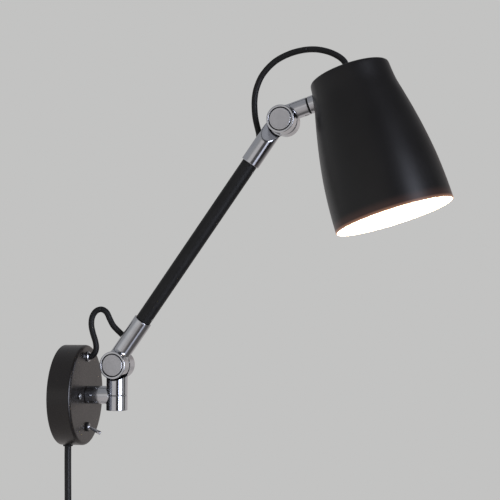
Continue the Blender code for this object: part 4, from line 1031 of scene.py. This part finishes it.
def surround():
    """What the metal reflects: a pale room, darker behind the camera, with a bright panel to its right."""
    world = bpy.data.worlds.new("studio")
    SCENE.world = world
    world.use_nodes = True
    nodes, links = world.node_tree.nodes, world.node_tree.links
    direction = add_node(nodes, "TexCoord").outputs["Generated"]
    turned = add_node(nodes, "VectorRotate", Angle=math.radians(CAMERA_BEARING))
    turned.rotation_type = "Z_AXIS"
    links.new(direction, turned.inputs["Vector"])
    parts = add_node(nodes, "SeparateXYZ")
    links.new(turned.outputs["Vector"], parts.inputs["Vector"])
    bearing = add_node(nodes, "Math")
    bearing.operation = "ARCTAN2"
    links.new(parts.outputs["Y"], bearing.inputs[0])
    links.new(parts.outputs["X"], bearing.inputs[1])
    share = spread(nodes, links, bearing.outputs["Value"], From_Min=-math.pi, From_Max=math.pi)
    rise = spread(nodes, links, parts.outputs["Z"], From_Min=-1.0)
    bands = levels(nodes, links, share, BANDS, of_bearing)
    share_of_bands = levels(nodes, links, rise, BANDS_BY_HEIGHT, of_sine)
    room = add_node(nodes, "VectorMath")
    room.operation = "MULTIPLY"
    links.new(levels(nodes, links, rise, ROOM_BY_HEIGHT, of_sine), room.inputs[0])
    links.new(levels(nodes, links, share, SIDES, of_bearing), room.inputs[1])
    lit = add_node(nodes, "VectorMath")
    lit.operation = "MULTIPLY_ADD"
    links.new(bands, lit.inputs[0])
    links.new(share_of_bands, lit.inputs[1])
    links.new(room.outputs["Vector"], lit.inputs[2])
    ray = add_node(nodes, "LightPath")
    chosen = add_node(nodes, "Mix")
    chosen.data_type = "RGBA"
    chosen.inputs[7].default_value = BACKDROP
    links.new(ray.outputs["Is Camera Ray"], chosen.inputs[0])
    links.new(lit.outputs["Vector"], chosen.inputs[6])
    links.new(chosen.outputs[2], nodes["Background"].inputs["Color"])


CAMERA_BEARING = 169.4              # degrees that turn the camera's side of the room to bearing 0
BACKDROP = (0.545, 0.545, 0.54, 1.0)
# bearing in degrees from straight back at the camera, towards its right; level; warmth
BANDS = [(-180.0, 0.5, 1.01), (-62.0, 0.6, 0.98), (-54.0, 0.6, 1.0), (-8.0, 0.58, 1.03), (0.0, 0.03, 1.0),
         (26.0, 0.03, 0.96), (32.0, 9.0, 0.89), (50.0, 9.0, 0.89), (57.0, 0.36, 0.97), (86.0, 0.33, 1.0),
         (91.0, 0.06, 1.0), (101.0, 0.06, 1.0), (108.0, 0.5, 1.03), (140.0, 0.5, 1.03), (150.0, 0.52, 1.06),
         (170.0, 0.52, 1.06), (180.0, 0.5, 1.01)]
SIDES = [(-180.0, 1.0, 1.0), (-20.0, 1.0, 1.0), (10.0, 0.22, 1.0), (125.0, 0.22, 1.0), (150.0, 1.0, 1.0)]
# sine of the elevation, level and warmth: how much of the bands shows, and what is added on the wall's side
BANDS_BY_HEIGHT = [(-1.0, 0.0, 1.0), (-0.5, 0.1, 1.0), (-0.2, 0.65, 1.0), (-0.1, 1.0, 1.0), (0.16, 1.0, 1.0),
                   (0.34, 0.5, 1.0), (0.58, 0.0, 1.0)]
ROOM_BY_HEIGHT = [(-1.0, 0.5, 1.04), (-0.5, 0.45, 1.04), (-0.25, 0.15, 1.0), (-0.1, 0.0, 1.0),
                  (0.3, 0.0, 1.0), (0.55, 0.32, 0.97), (1.0, 0.32, 0.97)]


def studio():
    """A pale surround, large soft lights above and to one side, and a pale floor."""
    surround()
    SCENE.view_settings.view_transform = "Standard"
    soft_light("key", (-0.9, -1.3, 1.3), (0.0, -0.15, 0.15), 1.0, 10.0)
    soft_light("top", (0.3, -0.3, 1.5), (0.0, -0.2, 0.1), 1.2, 6.0)
    floor()


camera()
mains_lead()
canopy()
grommet()
toggle_switch()
post()
swivel()
brackets()
tube()
head()
shade()
lamp()
lower_loop()
upper_loop()
carried_over()
studio()
